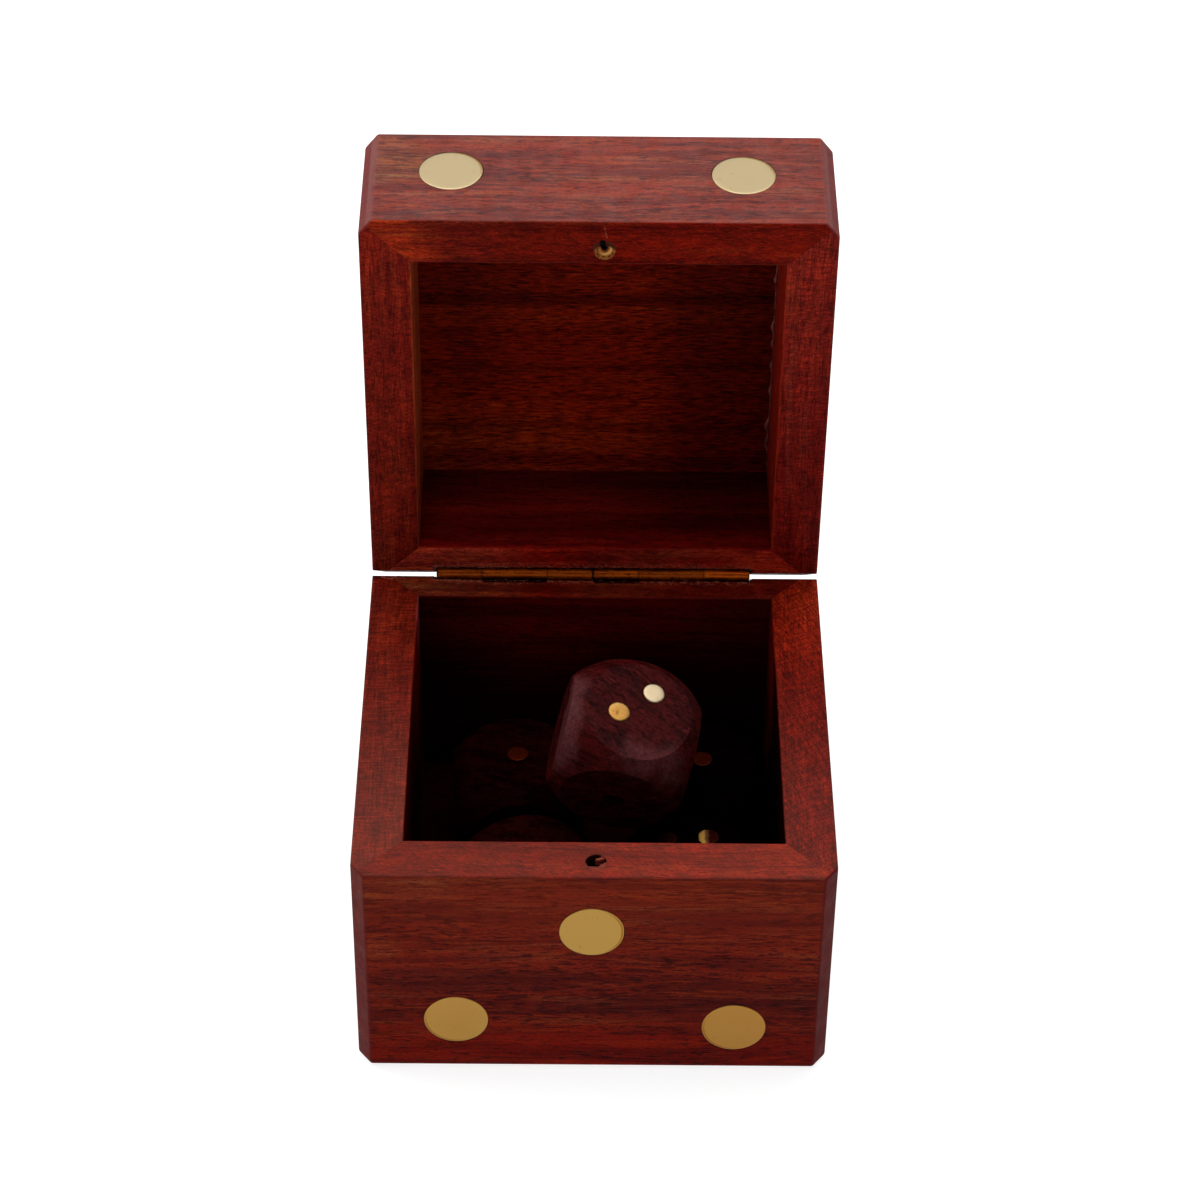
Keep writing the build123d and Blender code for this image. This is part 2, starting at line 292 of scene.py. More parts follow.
Tones = namedtuple("Tones", "dark mid light olive")
WALL_TONES = Tones(
    dark=(0.115, 0.0085, 0.005),
    mid=(0.2, 0.018, 0.007),
    light=(0.28, 0.04, 0.01),
    olive=(0.24, 0.05, 0.018),
)
PANEL_TONES = Tones(
    dark=(0.105, 0.0034, 0.0009),
    mid=(0.145, 0.0064, 0.001),
    light=(0.2, 0.016, 0.0024),
    olive=(0.18, 0.015, 0.0028),
)
DICE_TONES = Tones(
    dark=(0.016, 0.001, 0.001),
    mid=(0.042, 0.0025, 0.0025),
    light=(0.07, 0.006, 0.0055),
    olive=(0.05, 0.006, 0.005),
)
DASH_TINT = (0.42, 0.36, 0.58)
CHAMFER_MAUVE = {"base": (0.097, 0.0098, 0.0098), "lid": (0.165, 0.034, 0.032)}
PAINTED_SHEEN = (0.75, 0.62, 0.6)
SANDED = (0.3, 0.145, 0.105)


def rosewood(point, tones, seed, dashed=1.0, streaky=0.8, banded=1.0):
    """Colour and relief of rosewood; x of the point runs along the fibres."""
    grain = point.vector("ADD", (seed * 37.0, seed * 11.0, seed * 23.0))
    sway = grain.noise((0.028, 0.09, 0.09), 2.0, output=1)
    grain = grain.vector("ADD", sway.vector("MULTIPLY", (0.0, 3.0, 3.0)))
    bands = grain.noise((0.02, 0.5, 0.5), 2.0, 0.55)
    streaks = grain.noise((0.09, 1.7, 1.7), 3.0, 0.6)
    patches = grain.noise((0.035, 0.55, 0.55))
    clusters = grain.noise((0.06, 0.35, 0.35), 1.0)
    dashes = grain.noise((0.48, 3.4, 3.4))
    lines = grain.noise((0.18, 4.4, 4.4), 1.0)
    fibres = grain.noise((2.0, 5.5, 5.5))
    band = bands.ramp(0.36, 0.62, 0.5 - banded / 2, 0.5 + banded / 2)
    colour = band.between(tones.dark, tones.mid)
    colour = colour.mix(streaks.ramp(0.46, 0.76, 0.0, streaky), tones.light)
    colour = colour.mix(patches.ramp(0.56, 0.72, 0.0, 0.6 * banded), tones.olive)
    crowded = dashes + (clusters - 0.5) * (0.25 * banded)
    dash = crowded.ramp(0.54, 0.61, 0.0, dashed)
    line = lines.ramp(0.58, 0.7, 0.0, 0.65 * dashed)
    dark = dash.larger(line)
    colour = colour.mix(dark, DASH_TINT, "MULTIPLY")
    colour *= fibres.ramp(0.3, 0.7, 0.76, 1.24)
    relief = fibres * 0.6 - dark * 0.8
    return colour, relief + streaks * 0.4


def along_grain(point, name):
    """Turns the side walls' point so that x runs along the wall."""
    if name in ("front", "back"):
        return point
    x, y, z = point.parts()
    return point.paint.value("CombineXYZ", {0: y, 1: x, 2: z})


def closed_point(paint, body):
    """A point of either half, in mm, where it is with the box shut."""
    if body == "lid":
        return paint.point(OPEN_ANGLE, AXIS)
    return paint.point()


def sanding_marks(point, angle, seed, depth):
    """Fine straight scratches across the rims: how bright they leave the wood."""
    lines = point.turned((0, 0, angle), (seed, 0, 0)).noise((0.55, 5.0, 0.4))
    return lines.ramp(0.36, 0.64, 1.0 - depth, 1.0 + depth)


# How each wall differs. The tints of its rim and inner face fade along the wall, from the front to the
# back or from the left to the right. Besides the wood's tone, they hold painted light and shade:
# brighter where light falls and darker where the wall lies in shade. Then come the run and the depth of
# the scratches on its rim, how cloudy and banded it is, how far sanding has bleached its front end, and
# the tint of its outer face.
Wall = namedtuple(
    "Wall",
    "seed rim inside scratches depth clouds banded bleach outer",
    defaults=(0.15, 0.2, 1.0, 0.0, (0.74, 0.64, 0.56)),
)
WALLS = {
    ("base", "front"): Wall(
        seed=1,
        rim=[
            (-26, (0.69, 0.31, 0.19)),
            (-16, (0.61, 0.27, 0.165)),
            (4, (0.9, 0.38, 0.21)),
            (16, (0.94, 0.52, 0.37)),
        ],
        inside=[(0, (0.4, 0.1, 0.12))],
        scratches=(0.1, 0.9),
        banded=0.8,
        bleach=0.1,
    ),
    ("base", "back"): Wall(
        seed=2,
        rim=[
            (-20, (0.92, 1.2, 0.95)),
            (-14, (0.86, 1.05, 0.75)),
            (-7, (0.76, 0.28, 0.12)),
            (1, (1.04, 1.12, 0.66)),
            (14, (0.66, 0.33, 0.28)),
        ],
        inside=[
            (-22, (0.26, 0.05, 0.11)),
            (-8, (0.5, 0.09, 0.18)),
            (8, (0.5, 0.09, 0.18)),
            (22, (0.24, 0.05, 0.11)),
        ],
        scratches=(0.1, -0.5),
    ),
    ("base", "left"): Wall(
        seed=3,
        rim=[(-20, (0.69, 0.41, 0.36)), (5, (0.69, 0.38, 0.28)), (20, (0.71, 0.49, 0.36))],
        inside=[
            (-20, (0.2, 0.035, 0.04)),
            (3, (0.22, 0.04, 0.045)),
            (15, (0.75, 0.18, 0.19)),
            (22, (0.95, 0.26, 0.28)),
        ],
        scratches=(0.04, -0.08),
        depth=0.26,
        banded=0.5,
        bleach=0.13,
    ),
    ("base", "right"): Wall(
        seed=4,
        rim=[
            (-20, (0.7, 0.32, 0.37)),
            (0, (0.72, 0.28, 0.24)),
            (8, (0.8, 0.34, 0.27)),
            (15, (1.2, 0.64, 0.38)),
            (26, (1.35, 0.88, 0.48)),
        ],
        inside=[(-5, (0.04, 0.01, 0.01)), (6, (0.05, 0.015, 0.015)), (18, (0.8, 0.26, 0.22))],
        scratches=(1.1, -0.5),
        depth=0.32,
        clouds=0.04,
        banded=0.2,
        bleach=0.08,
    ),
    ("lid", "front"): Wall(
        seed=5,
        rim=[
            (-26, (1.45, 1.15, 0.57)),
            (-19, (0.67, 0.37, 0.3)),
            (-8, (0.6, 0.24, 0.145)),
            (8, (0.66, 0.205, 0.095)),
            (24, (0.65, 0.235, 0.145)),
        ],
        inside=[(0, (0.8, 0.5, 0.4))],
        scratches=(0.3, -0.5),
        # Its pale outer tint is partly painted sheen of the light from above.
        outer=(0.9, 0.95, 0.9),
    ),
    ("lid", "back"): Wall(
        seed=6,
        rim=[
            (-18, (2.6, 2.6, 2.8)),
            (-6, (2.75, 0.95, 0.5)),
            (1, (1.72, 0.82, 0.95)),
            (9, (1.62, 1.05, 1.15)),
            (18, (2.15, 0.82, 0.8)),
        ],
        inside=[(0, (0.95, 0.3, 0.39))],
        scratches=(0.5, -0.4),
    ),
    ("lid", "left"): Wall(
        seed=7,
        rim=[(0, (0.88, 0.5, 0.46))],
        inside=[(0, (2.2, 3.4, 2.3))],
        scratches=(0.4, -0.3),
        depth=0.2,
        banded=0.7,
    ),
    ("lid", "right"): Wall(
        seed=8,
        rim=[(-18, (1.05, 0.72, 0.82)), (0, (0.87, 0.4, 0.53)), (16, (0.98, 0.39, 0.46))],
        inside=[(0, (2.1, 1.15, 1.07))],
        scratches=(0.2, -0.2),
        depth=0.22,
        banded=0.7,
    ),
}

# The tint of the base's front face, from its foot to its rim: redder at the foot and darkened there
# with painted shade.
FRONT_SHADE_FADE = [(3, (1.0, 0.43, 0.08)), (13, (0.92, 0.7, 0.6)), (34, (1.13, 1.08, 0.95))]

# The tint of the lid's back wall inside, from its rim inwards: the wood's tone with painted light and
# shade, darkest in a band of painted shade near the top.
LID_BACK_LIGHT_FADE = [
    (1, (1.25, 0.9, 0.9)),
    (3, (0.85, 0.62, 0.65)),
    (5, (0.9, 0.85, 1.0)),
    (8, (1.5, 2.1, 1.9)),
    (11, (1.05, 1.5, 1.5)),
    (14, (0.6, 0.95, 1.2)),
    (16, (0.62, 0.95, 1.2)),
]

# Large soft stains of the front faces: closed x and z, half sizes, strength, tint.
Stain = namedtuple("Stain", "x z wide high strength tint")
OLIVE, ORANGE, PLUM, RED = (1.25, 2.3, 2.4), (1.5, 1.9, 1.2), (0.55, 0.5, 0.9), (1.0, 0.55, 0.4)
STAINS = {
    ("base", "front"): [
        Stain(-26, 33.4, 9, 2.4, 0.8, OLIVE),
        Stain(-29, 22.8, 4, 2.2, 0.7, OLIVE),
        Stain(-9, 21.4, 8, 1.2, 0.6, OLIVE),
        Stain(17, 33.6, 18, 2.4, 0.4, ORANGE),
        Stain(27, 18.8, 7, 1.8, 0.35, ORANGE),
        Stain(-16, 17.0, 16, 2.6, 0.7, PLUM),
        Stain(-20, 28.4, 12, 1.2, 0.15, PLUM),
        Stain(17, 27.6, 12, 2.2, 0.8, (0.8, 0.66, 0.82)),
        Stain(17, 28.9, 13, 1.8, 0.6, (0.8, 0.66, 0.82)),
        Stain(18, 20.4, 12, 1.6, 0.6, (0.82, 0.62, 0.8)),
        Stain(6, 12.0, 22, 2.0, 0.6, PLUM),
        Stain(-25, 14.2, 8, 1.8, 0.4, PLUM),
        Stain(28, 12.5, 4, 4.0, 0.5, PLUM),
        Stain(0, 3.5, 40, 5.0, 0.8, RED),
    ],
    ("lid", "front"): [
        Stain(-28, 50.0, 7, 6.0, 0.9, (1.08, 2.2, 1.7)),
        Stain(3, 46.0, 13, 1.4, 0.5, (1.1, 1.5, 1.2)),
        Stain(-12, 51.5, 16, 2.0, 0.5, (0.95, 0.75, 0.7)),
        Stain(14, 41.0, 14, 2.0, 0.5, (0.95, 0.75, 0.8)),
        Stain(20, 53.0, 10, 1.6, 0.5, (0.8, 0.8, 0.9)),
        Stain(27, 50.5, 4, 1.4, 0.6, (0.75, 0.75, 0.75)),
        Stain(27, 43.4, 4, 1.2, 0.6, (0.8, 0.82, 0.88)),
    ],
}


def squares(a, b):
    """The sum of two squares."""
    return a * a + b * b


def from_oval(x, y, centre, radii):
    """How far a place is from an oval's middle: 1 on the oval, growing with the square."""
    return squares((x - centre[0]) / radii[0], (y - centre[1]) / radii[1])


def oval(x, y, centre, radii):
    """A soft-edged oval mark on a rim."""
    return from_oval(x, y, centre, radii).fall(0.5, 1.1)


def stained(colour, at, stains):
    """Lays large soft-edged stains over a face."""
    ragged = (at.point.noise((0.1, 0.5, 0.5), 3.0) - 0.5) * 1.6
    for stain in stains:
        apart = from_oval(at.x, at.z, (stain.x, stain.z), (stain.wide, stain.high))
        amount = (apart + ragged).fall(0.3, 1.4, stain.strength)
        colour = colour.mix(amount, stain.tint, "MULTIPLY")
    return colour


# A place on a wall: its coordinates, its run along the wall and its depth below the rim,
# with the noise that clouds the wall there.
Place = namedtuple("Place", "point x y z along from_rim mottle")


def outer_face(wood, wall, key, at):
    """The side seen from without, stained; painted shade darkens the base's front towards its foot."""
    colour = stained(wood * wall.outer, at, STAINS.get(key, []))
    if key == ("base", "front"):
        colour = colour.mix(at.z.ramp(22.0, 31.0, 0.0, 0.35), (0.125, 0.0125, 0.0045))
        # Painted shade towards the foot, along with the front's redder tone there.
        colour *= at.z.fade(FRONT_SHADE_FADE)
        worn = at.point.noise((0.12, 1.0, 1.0), 3.0).ramp(0.4, 0.56, 0.75, 0.15)
        top_edge = at.from_rim.fall(0.22, 0.55) * worn
        colour = colour.mix(top_edge, (0.035, 0.004, 0.005))
    return colour


def rim_face(wood, wall, body, at):
    """The sanded rim: scratched, cloudy and speckled, with painted light and shade in its tints."""
    colour = wood * at.along.fade(wall.rim)
    for number, angle in enumerate(wall.scratches):
        colour *= sanding_marks(at.point, angle, 3 + 5 * number, wall.depth)
    colour *= at.mottle.ramp(0.3, 0.7, 1.0 - wall.clouds, 1.0 + wall.clouds)
    colour *= at.point.noise(3.2).ramp(0.3, 0.7, 0.84, 1.16)
    # Painted light: the lid's rims are brighter towards its front and darker towards the hinges.
    if body == "lid":
        colour *= at.y.ramp(-32.0, 30.0, 1.25, 0.85)
    return colour.mix(at.y.fall(-32.0, 22.0, wall.bleach), SANDED)


def inner_face(wood, wall, key, at):
    """The side towards the hollow: painted shade darkens the base's walls the deeper they lie, and a
    painted highlight lies near the base's back left corner.
    """
    colour = wood * at.along.fade(wall.inside)
    if key[0] == "base":
        # Painted shade, deeper down in the base.
        colour *= at.from_rim.ramp(3.0, 18.0, 1.1, 0.25)
    if key == ("base", "left"):
        # A painted highlight near the back of the base's left wall, fading downwards.
        painted_haze = at.y.ramp(17.5, 21.0) * at.from_rim.fall(2.0, 9.0, 0.75)
        painted_haze *= at.mottle.ramp(0.3, 0.6, 0.5, 1.0)
        colour = colour.mix(painted_haze, (0.45, 0.068, 0.09))
    if key == ("lid", "back"):
        # Painted light and shade down the lid's back wall, darker towards its right.
        colour *= at.from_rim.fade(LID_BACK_LIGHT_FADE)
        to_right = at.x.ramp(-4.0, 16.0, 1.1, 0.5)
        colour *= at.from_rim.ramp(2.0, 6.0).between((1.0, 1.0, 1.0), to_right)
    return colour


def chamfers(colour, body, at, across, far):
    """The corner chamfers, dusted over with mauve."""
    from_side = (HALF - across) / CUT_FRONT
    from_face = (HALF - far) / CUT_SIDE
    chamfer = (from_side + from_face).fall(1.03, 1.25)
    dusty = chamfer * at.mottle.ramp(0.3, 0.7, 0.45, 0.85)
    colour = colour.mix(dusty, CHAMFER_MAUVE[body])
    if body == "base":
        right = chamfer * at.x.ramp(-1.0, 1.0)
        colour = colour.mix(right, (0.85, 0.5, 0.5), "MULTIPLY")
    return colour


def wall_paint(body, name):
    """One wall, with its outer face, rim, corner chamfers and inner face, dark with painted shade in
    the base.
    """
    key = (body, name)
    wall = WALLS[key]
    paint = Paint(f"{body}_{name}_wood", specular=0.025)
    point = closed_point(paint, body)
    x, y, z = point.parts()
    across, far = abs(x), abs(y)
    along, depth = (x, far) if name in ("front", "back") else (y, across)
    from_rim = abs(z - (BASE_RIM if body == "base" else LID_RIM))
    mottle = point.noise(0.35, 4.0, 0.6)
    at = Place(point, x, y, z, along, from_rim, mottle)

    inside = depth.fall(INNER + 0.02, INNER + 0.26)
    outside = 1.0 - inside
    rim = from_rim.fall(0.05, 0.3) * outside
    grain = along_grain(point, name)
    wood, relief = rosewood(grain, WALL_TONES, wall.seed)
    smooth = rosewood(grain, WALL_TONES, wall.seed + 0.3, 0.7, 0.5, wall.banded)[0]
    colour = outer_face(wood, wall, key, at)
    colour = colour.mix(rim, rim_face(smooth, wall, body, at))
    colour = colour.mix(inside, inner_face(smooth, wall, key, at))
    colour = chamfers(colour, body, at, across, far)
    # Painted sheen: a pale cloudy haze over the lid's front face, where it faces the light above.
    if key == ("lid", "front"):
        face = outside * (1.0 - rim)
        colour = colour.mix(face * mottle.ramp(0.3, 0.7, 0.03, 0.055), PAINTED_SHEEN)
    mitre = abs(across - far).fall(0.02, 0.1)
    colour = colour.mix(mitre * 0.2, (0.04, 0.004, 0.003))
    if name == "front":
        colour = catch_shade(colour, body, at)
    if name == "back":
        colour = hinge_edge(colour, body, at)
    paint.bump(relief, 0.02)
    return paint.finish(colour, mottle.ramp(0.3, 0.7, 0.42, 0.58))


def catch_shade(colour, body, at):
    """The bore of the catch: painted shade, nearly black, down the base's bore; bare pale wood in the
    lid.
    """
    centre = BASE_CATCH if body == "base" else LID_CATCH
    # In the base, painted shade darkens the bore nearly to black.
    bore_colour = (0.02, 0.004, 0.003) if body == "base" else (0.3, 0.12, 0.03)
    apart = squares(at.x - centre[0], at.y - centre[1])
    at_bore = apart.math("SQRT").fall(1.46, 1.52)
    bore = at_bore * at.from_rim.ramp(0.04, 0.2)
    if body == "lid":
        colour = scorched(colour, at)
    return colour.mix(bore, bore_colour)


def scorched(colour, at):
    """The lid's rim round its catch: scorched, with a notch painted black as shade, and cracked towards
    the front.
    """
    point = colour.paint.point()
    ragged = (point.noise(1.8, 3.0) - 0.5) * 1.2
    scorch = oval(at.x + ragged, at.y, (0.76, -27.75), (1.65, 1.15))
    colour = colour.mix(scorch * 0.8, (0.06, 0.014, 0.008))
    # A notch painted black, as the shade inside it.
    shaded_notch = oval(at.x, at.y, (0.5, -28.4), (0.5, 0.62))
    colour = colour.mix(shaded_notch, (0.004, 0.001, 0.001))
    slanted = at.x - (at.y + 30.6) * 0.2
    crack = abs(slanted - 0.78).fall(0.03, 0.14, 0.4)
    in_front = at.y.fall(-29.4, -29.0) * at.y.ramp(-31.4, -30.6)
    on_rim = at.from_rim.fall(0.03, 0.15)
    broken = point.noise(2.5).ramp(0.4, 0.55, 0.15, 1.0)
    crack *= in_front * on_rim * broken
    return colour.mix(crack, (0.34, 0.12, 0.06))


# The hinges' edge on the rims, the stretches of it that open into a gap, along x, where painted shade
# darkens the rim, and how far that shade reaches over the rim.
HINGE_EDGE = 28.785
SHADED_GAPS = {"base": [(-16.0, -6.8), (-0.2, 6.3)], "lid": [(-0.2, 6.3)]}
GAP_SHADE_REACH = {"base": 0.62, "lid": 0.16}


def hinge_edge(colour, body, at):
    """The rim beside the hinges: a ragged line of painted shade, wide where a gap opens, and raw wood.
    """
    along_hinges = at.x.ramp(-23.4, -22.8) * at.x.fall(22.2, 22.8)
    beside = along_hinges * at.from_rim.fall(0.05, 0.3)
    ragged = at.point.noise(1.1, 3.0, 0.6)
    torn = at.point.noise((2.8, 3.6, 3.6))
    off = HINGE_EDGE - at.y
    raw = (off + (ragged - 0.5) * 2.2).fall(0.2, 1.3, 0.55)
    raw *= torn.ramp(0.5, 0.6) * beside
    colour = colour.mix(raw, (0.42, 0.13, 0.085))
    wide = 0.0
    for start, end in SHADED_GAPS[body]:
        starts = at.x.ramp(start - 0.2, start + 0.2)
        ends = at.x.fall(end - 0.2, end + 0.2)
        wide = (starts * ends).larger(wide)
    reach = wide * GAP_SHADE_REACH[body] + ragged * 0.16
    # Painted shade along the hinges' edge, wide where a gap opens.
    dark = (off - reach).fall(-0.06, 0.06, 0.96)
    return colour.mix(dark * beside, (0.008, 0.001, 0.001))


# The tints of the top's inner face: from the front to the back, from left to right, and from left to
# right once more near its front and its back. Besides the wood's tone, they hold painted light and
# shade.
PANEL_FADE = [
    (-10, (0.9, 0.9, 0.45)),
    (-4, (1.0, 1.2, 0.53)),
    (2, (0.95, 0.85, 0.47)),
    (8, (1.05, 1.05, 0.56)),
    (13, (1.2, 1.35, 0.9)),
    (18, (1.25, 1.9, 1.4)),
    (24, (1.3, 1.75, 2.3)),
]
PANEL_SIDES = [
    (-24, (1.4, 1.5, 1.4)),
    (-19, (0.9, 0.9, 0.9)),
    (-6, (1.1, 1.1, 1.1)),
    (5, (1.05, 1.05, 1.05)),
    (15, (0.58, 0.55, 0.6)),
]
PANEL_FRONT_SIDES = [(-12, (0.8, 0.8, 0.8)), (6, (1.08, 1.08, 0.95))]
PANEL_BACK_SIDES = [(-20, (1.3, 1.6, 1.5)), (5, (1.1, 1.05, 1.0)), (15, (0.88, 0.5, 0.9))]

# Dark heartwood lines across the top's inner face: closed y, half width, strength.
HEARTWOOD = [
    (-6.2, 1.3, 0.72),
    (-0.6, 0.7, 0.35),
    (5.6, 0.9, 0.45),
    (10.9, 0.4, 0.3),
    (16.6, 1.0, 0.4),
    (22.6, 1.2, 0.5),
]


def heartwood(point):
    """How dark the wandering lines of heartwood make the top's inner face."""
    sway = point.noise((0.03, 0.05, 0.05))
    ragged = point.noise((0.12, 1.6, 0.4), 3.0)
    y = point.parts()[1] + (sway - 0.5) * 3.0 + (ragged - 0.5) * 1.6
    total = 0.0
    for place, half_width, strength in HEARTWOOD:
        line = abs(y - place).fall(0.3 * half_width, 1.5 * half_width, strength)
        total = line.larger(total)
    return total


def panel_paint(body, seed):
    """The floor or the top: plain outside, dark and banded inside, the floor darkened further with
    painted shade.
    """
    paint = Paint(f"{body}_panel_wood", specular=0.02)
    point = closed_point(paint, body)
    x, y, z = point.parts()
    colour, relief = rosewood(point, PANEL_TONES, seed, 1.0, 0.45, 0.15)
    outer, _ = rosewood(point, WALL_TONES, seed + 0.7)
    if body == "lid":
        outside = z.ramp(TOP - 1.5, TOP - 1.0)
        colour *= point.noise((0.45, 3.6, 3.6)).ramp(0.34, 0.66, 0.56, 1.44)
        colour = colour.mix(heartwood(point), (0.3, 0.12, 0.2), "MULTIPLY")
        colour *= y.fade(PANEL_FADE)
        colour *= x.fade(PANEL_SIDES)
        at_front, at_back = y.fall(-8.0, -4.0), y.ramp(6.0, 18.0)
        colour = colour.mix(at_front, x.fade(PANEL_FRONT_SIDES), "MULTIPLY")
        colour = colour.mix(at_back, x.fade(PANEL_BACK_SIDES), "MULTIPLY")
    else:
        outside = z.fall(0.5, 1.0)
        # Painted shade: the floor deep in the base is darkened nearly to black.
        colour *= (0.1, 0.08, 0.1)
    colour = colour.mix(outside, outer)
    paint.bump(relief, 0.02)
    return paint.finish(colour, relief.ramp(-0.2, 0.8, 0.6, 0.45))


# Where the top die has a pale painted highlight, seen from its middle, and how shyly: along its upper
# left edge, round the corner in front of it and, faintly, below its upper face.
HIGHLIGHT_FACINGS = [
    ((-0.72, 0.02, 0.7), 0.0),
    ((-0.78, -0.26, 0.57), 0.0),
    ((-0.78, -0.46, 0.42), 0.01),
    ((0.2, -0.84, 0.5), 0.035),
    ((0.52, -0.78, 0.34), 0.035),
]


def highlighted_edge(colour):
    """Paints a pale highlight on the top die's edges, where they face the light."""
    low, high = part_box("die_top")
    middle = (Vector(low) + Vector(high)) / (2 * MM)
    point = colour.paint.point()
    outward = point.vector("SUBTRACT", middle).vector("NORMALIZE", (0, 0, 0))
    facing = 0.0
    for place, shy in HIGHLIGHT_FACINGS:
        facing = (outward.dot(place) - shy).larger(facing)
    cloud = point.noise(0.5, 4.0, 0.6)
    edge_highlight = (facing + cloud * 0.12).ramp(0.96, 1.04)
    edge_highlight *= point.noise(2.2).ramp(0.3, 0.7, 0.45, 0.95)
    return colour.mix(edge_highlight, (0.086, 0.023, 0.025))


def dice_paint(name, seed, timber):
    paint = Paint(f"{name}_wood", specular=timber.specular)
    point = paint.point().turned(timber.turn)
    colour, relief = rosewood(point, DICE_TONES, seed)
    colour *= [timber.brightness] * 3
    if name == "die_top":
        colour = highlighted_edge(colour)
    paint.bump(relief, 0.015)
    return paint.finish(colour, relief.ramp(-0.2, 0.8, 0.55, 0.4))


def assign(node, material):
    """Gives a CAD node its finish."""
    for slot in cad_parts[node].material_slots:
        slot.material = material


# How each die's wood looks: its turn, its brightness and its shine. The brightness is painted light and
# shade: all but the top die lie in deep shade, painted in as dark wood.
Timber = namedtuple("Timber", "turn brightness specular")
DICE = {
    "die_top": Timber((0.0, 0.0, 0.61), 1.1, 0.025),
    "die_back_left": Timber((0.0, 0.3, 0.2), 0.22, 0.002),
    "die_back_right": Timber((0.2, 0.0, -0.3), 0.03, 0.001),
    "die_front_left": Timber((0.0, 0.9, 0.1), 0.34, 0.002),
    "die_front_right": Timber((1.2, 0.0, 0.4), 0.03, 0.001),
}


def finish_woods():
    for body, name in WALLS:
        assign(f"{body}_{name}_wall", wall_paint(body, name))
    assign("base_floor", panel_paint("base", 11))
    assign("lid_top_panel", panel_paint("lid", 12))
    for number, (name, timber) in enumerate(DICE.items()):
        assign(name, dice_paint(name, 20 + number, timber))


# --- Mesh tools ---


def circle(middle, across, up, reaches):
    """Places round a middle, in equal steps, one for each reach."""
    spots = []
    for step, reach in enumerate(reaches):
        angle = math.tau * step / len(reaches)
        spots.append(middle + (across * math.cos(angle) + up * math.sin(angle)) * reach)
    return spots


def add_ring(work, spots):
    """Adds a ring of corners at places in mm."""
    return [work.verts.new(Vector(spot) * MM) for spot in spots]


def bridge(work, rings, smooth=False):
    """Joins each ring to the next with a band of faces."""
    for ring_a, ring_b in zip(rings, rings[1:]):
        for i in range(len(ring_a)):
            j = (i + 1) % len(ring_a)
            face = work.faces.new([ring_a[i], ring_a[j], ring_b[j], ring_b[i]])
            face.smooth = smooth


def solid(work, rings, smooth=False):
    """Joins the rings and closes both ends."""
    bridge(work, rings, smooth)
    work.faces.new(list(reversed(rings[0])))
    work.faces.new(rings[-1])


def split_large_faces(work):
    bmesh.ops.triangulate(work, faces=[face for face in work.faces if len(face.verts) > 4])


def mesh_piece(name, work):
    bmesh.ops.recalc_face_normals(work, faces=work.faces)
    mesh = bpy.data.meshes.new(name)
    work.to_mesh(mesh)
    work.free()
    return add_object(name, mesh)


def dress(piece, body, slot, material, *nodes):
    """Puts a scene's piece on a body, with its finish and the nodes it stands for."""
    piece.data.materials.append(material)
    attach(piece, body)
    if nodes:
        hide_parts(*nodes)


# --- Brass discs and pips ---

Plug = namedtuple("Plug", "centre outward")


def separate_clouds(mesh):
    """The places of a mesh's vertices, one list for each of its separate solids."""
    keys, points, index = {}, [], []
    for vertex in mesh.vertices:
        key = tuple(round(c * 1e6) for c in vertex.co)
        if key not in keys:
            keys[key] = len(points)
            points.append(vertex.co.copy())
        index.append(keys[key])
    parent = list(range(len(points)))

    def root(i):
        while parent[i] != i:
            parent[i] = parent[parent[i]]
            i = parent[i]
        return i

    for face in mesh.polygons:
        first = root(index[face.vertices[0]])
        for corner in face.vertices[1:]:
            parent[root(index[corner])] = first
    clouds = {}
    for i, point in enumerate(points):
        clouds.setdefault(root(i), []).append(point)
    return clouds.values()


def plugs_of(node, hub):
    """Where each flat plug of a CAD node lies, and its outward direction from a hub."""
    plugs = []
    for points in separate_clouds(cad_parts[node].data):
        cloud = numpy.array(points)
        centre = Vector((cloud.max(axis=0) + cloud.min(axis=0)) / 2)
        _, directions = numpy.linalg.eigh(numpy.cov((cloud - numpy.array(centre)).T))
        outward = Vector(directions[:, 0]).normalized()
        if outward.dot(centre - hub) < 0:
            outward = -outward
        height = max((point - centre).dot(outward) for point in points)
        plugs.append(Plug(centre + outward * height, outward))
    return sorted(plugs, key=lambda plug: [round(c, 4) for c in plug.centre])


# A plug's section runs from its middle to its edge: parts of its radius, and heights in mm.
DISC_SECTION = [
    (0.0, 0.015),
    (0.35, 0.013),
    (0.7, 0.012),
    (0.9, 0.014),
    (0.965, 0.012),
    (0.99, -0.01),
    (1.0, -0.06),
]
PIP_SECTION = [(0.0, 0.01), (0.5, 0.014), (0.85, 0.01), (0.97, -0.01), (1.0, -0.05)]

# The two kinds of plug: radius, depth and how far out of round, in mm, steps and section.
Kind = namedtuple("Kind", "radius depth wobble steps section")
DISC = Kind(4.35, 1.2, 0.035, 96, DISC_SECTION)
PIP = Kind(1.5, 1.0, 0.018, 40, PIP_SECTION)

# A plug's tone, where it is tarnished, in turns from the right, and the depth in mm of the
# nick there.
Look = namedtuple("Look", "tone stain nick")


def hand_cut(kind, waves, look):
    """A plug's reach at each step round it: a little out of round, with its nick."""
    reaches = []
    for step in range(kind.steps):
        angle = math.tau * step / kind.steps
        out = sum(size * math.sin(k * angle + phase) for k, size, phase in waves)
        from_nick = (step / kind.steps - look.stain + 0.5) % 1.0 - 0.5
        dent = look.nick * math.exp(-((from_nick / 0.035) ** 2))
        reaches.append(kind.radius + kind.wobble * (out - 1.2) - dent)
    return reaches


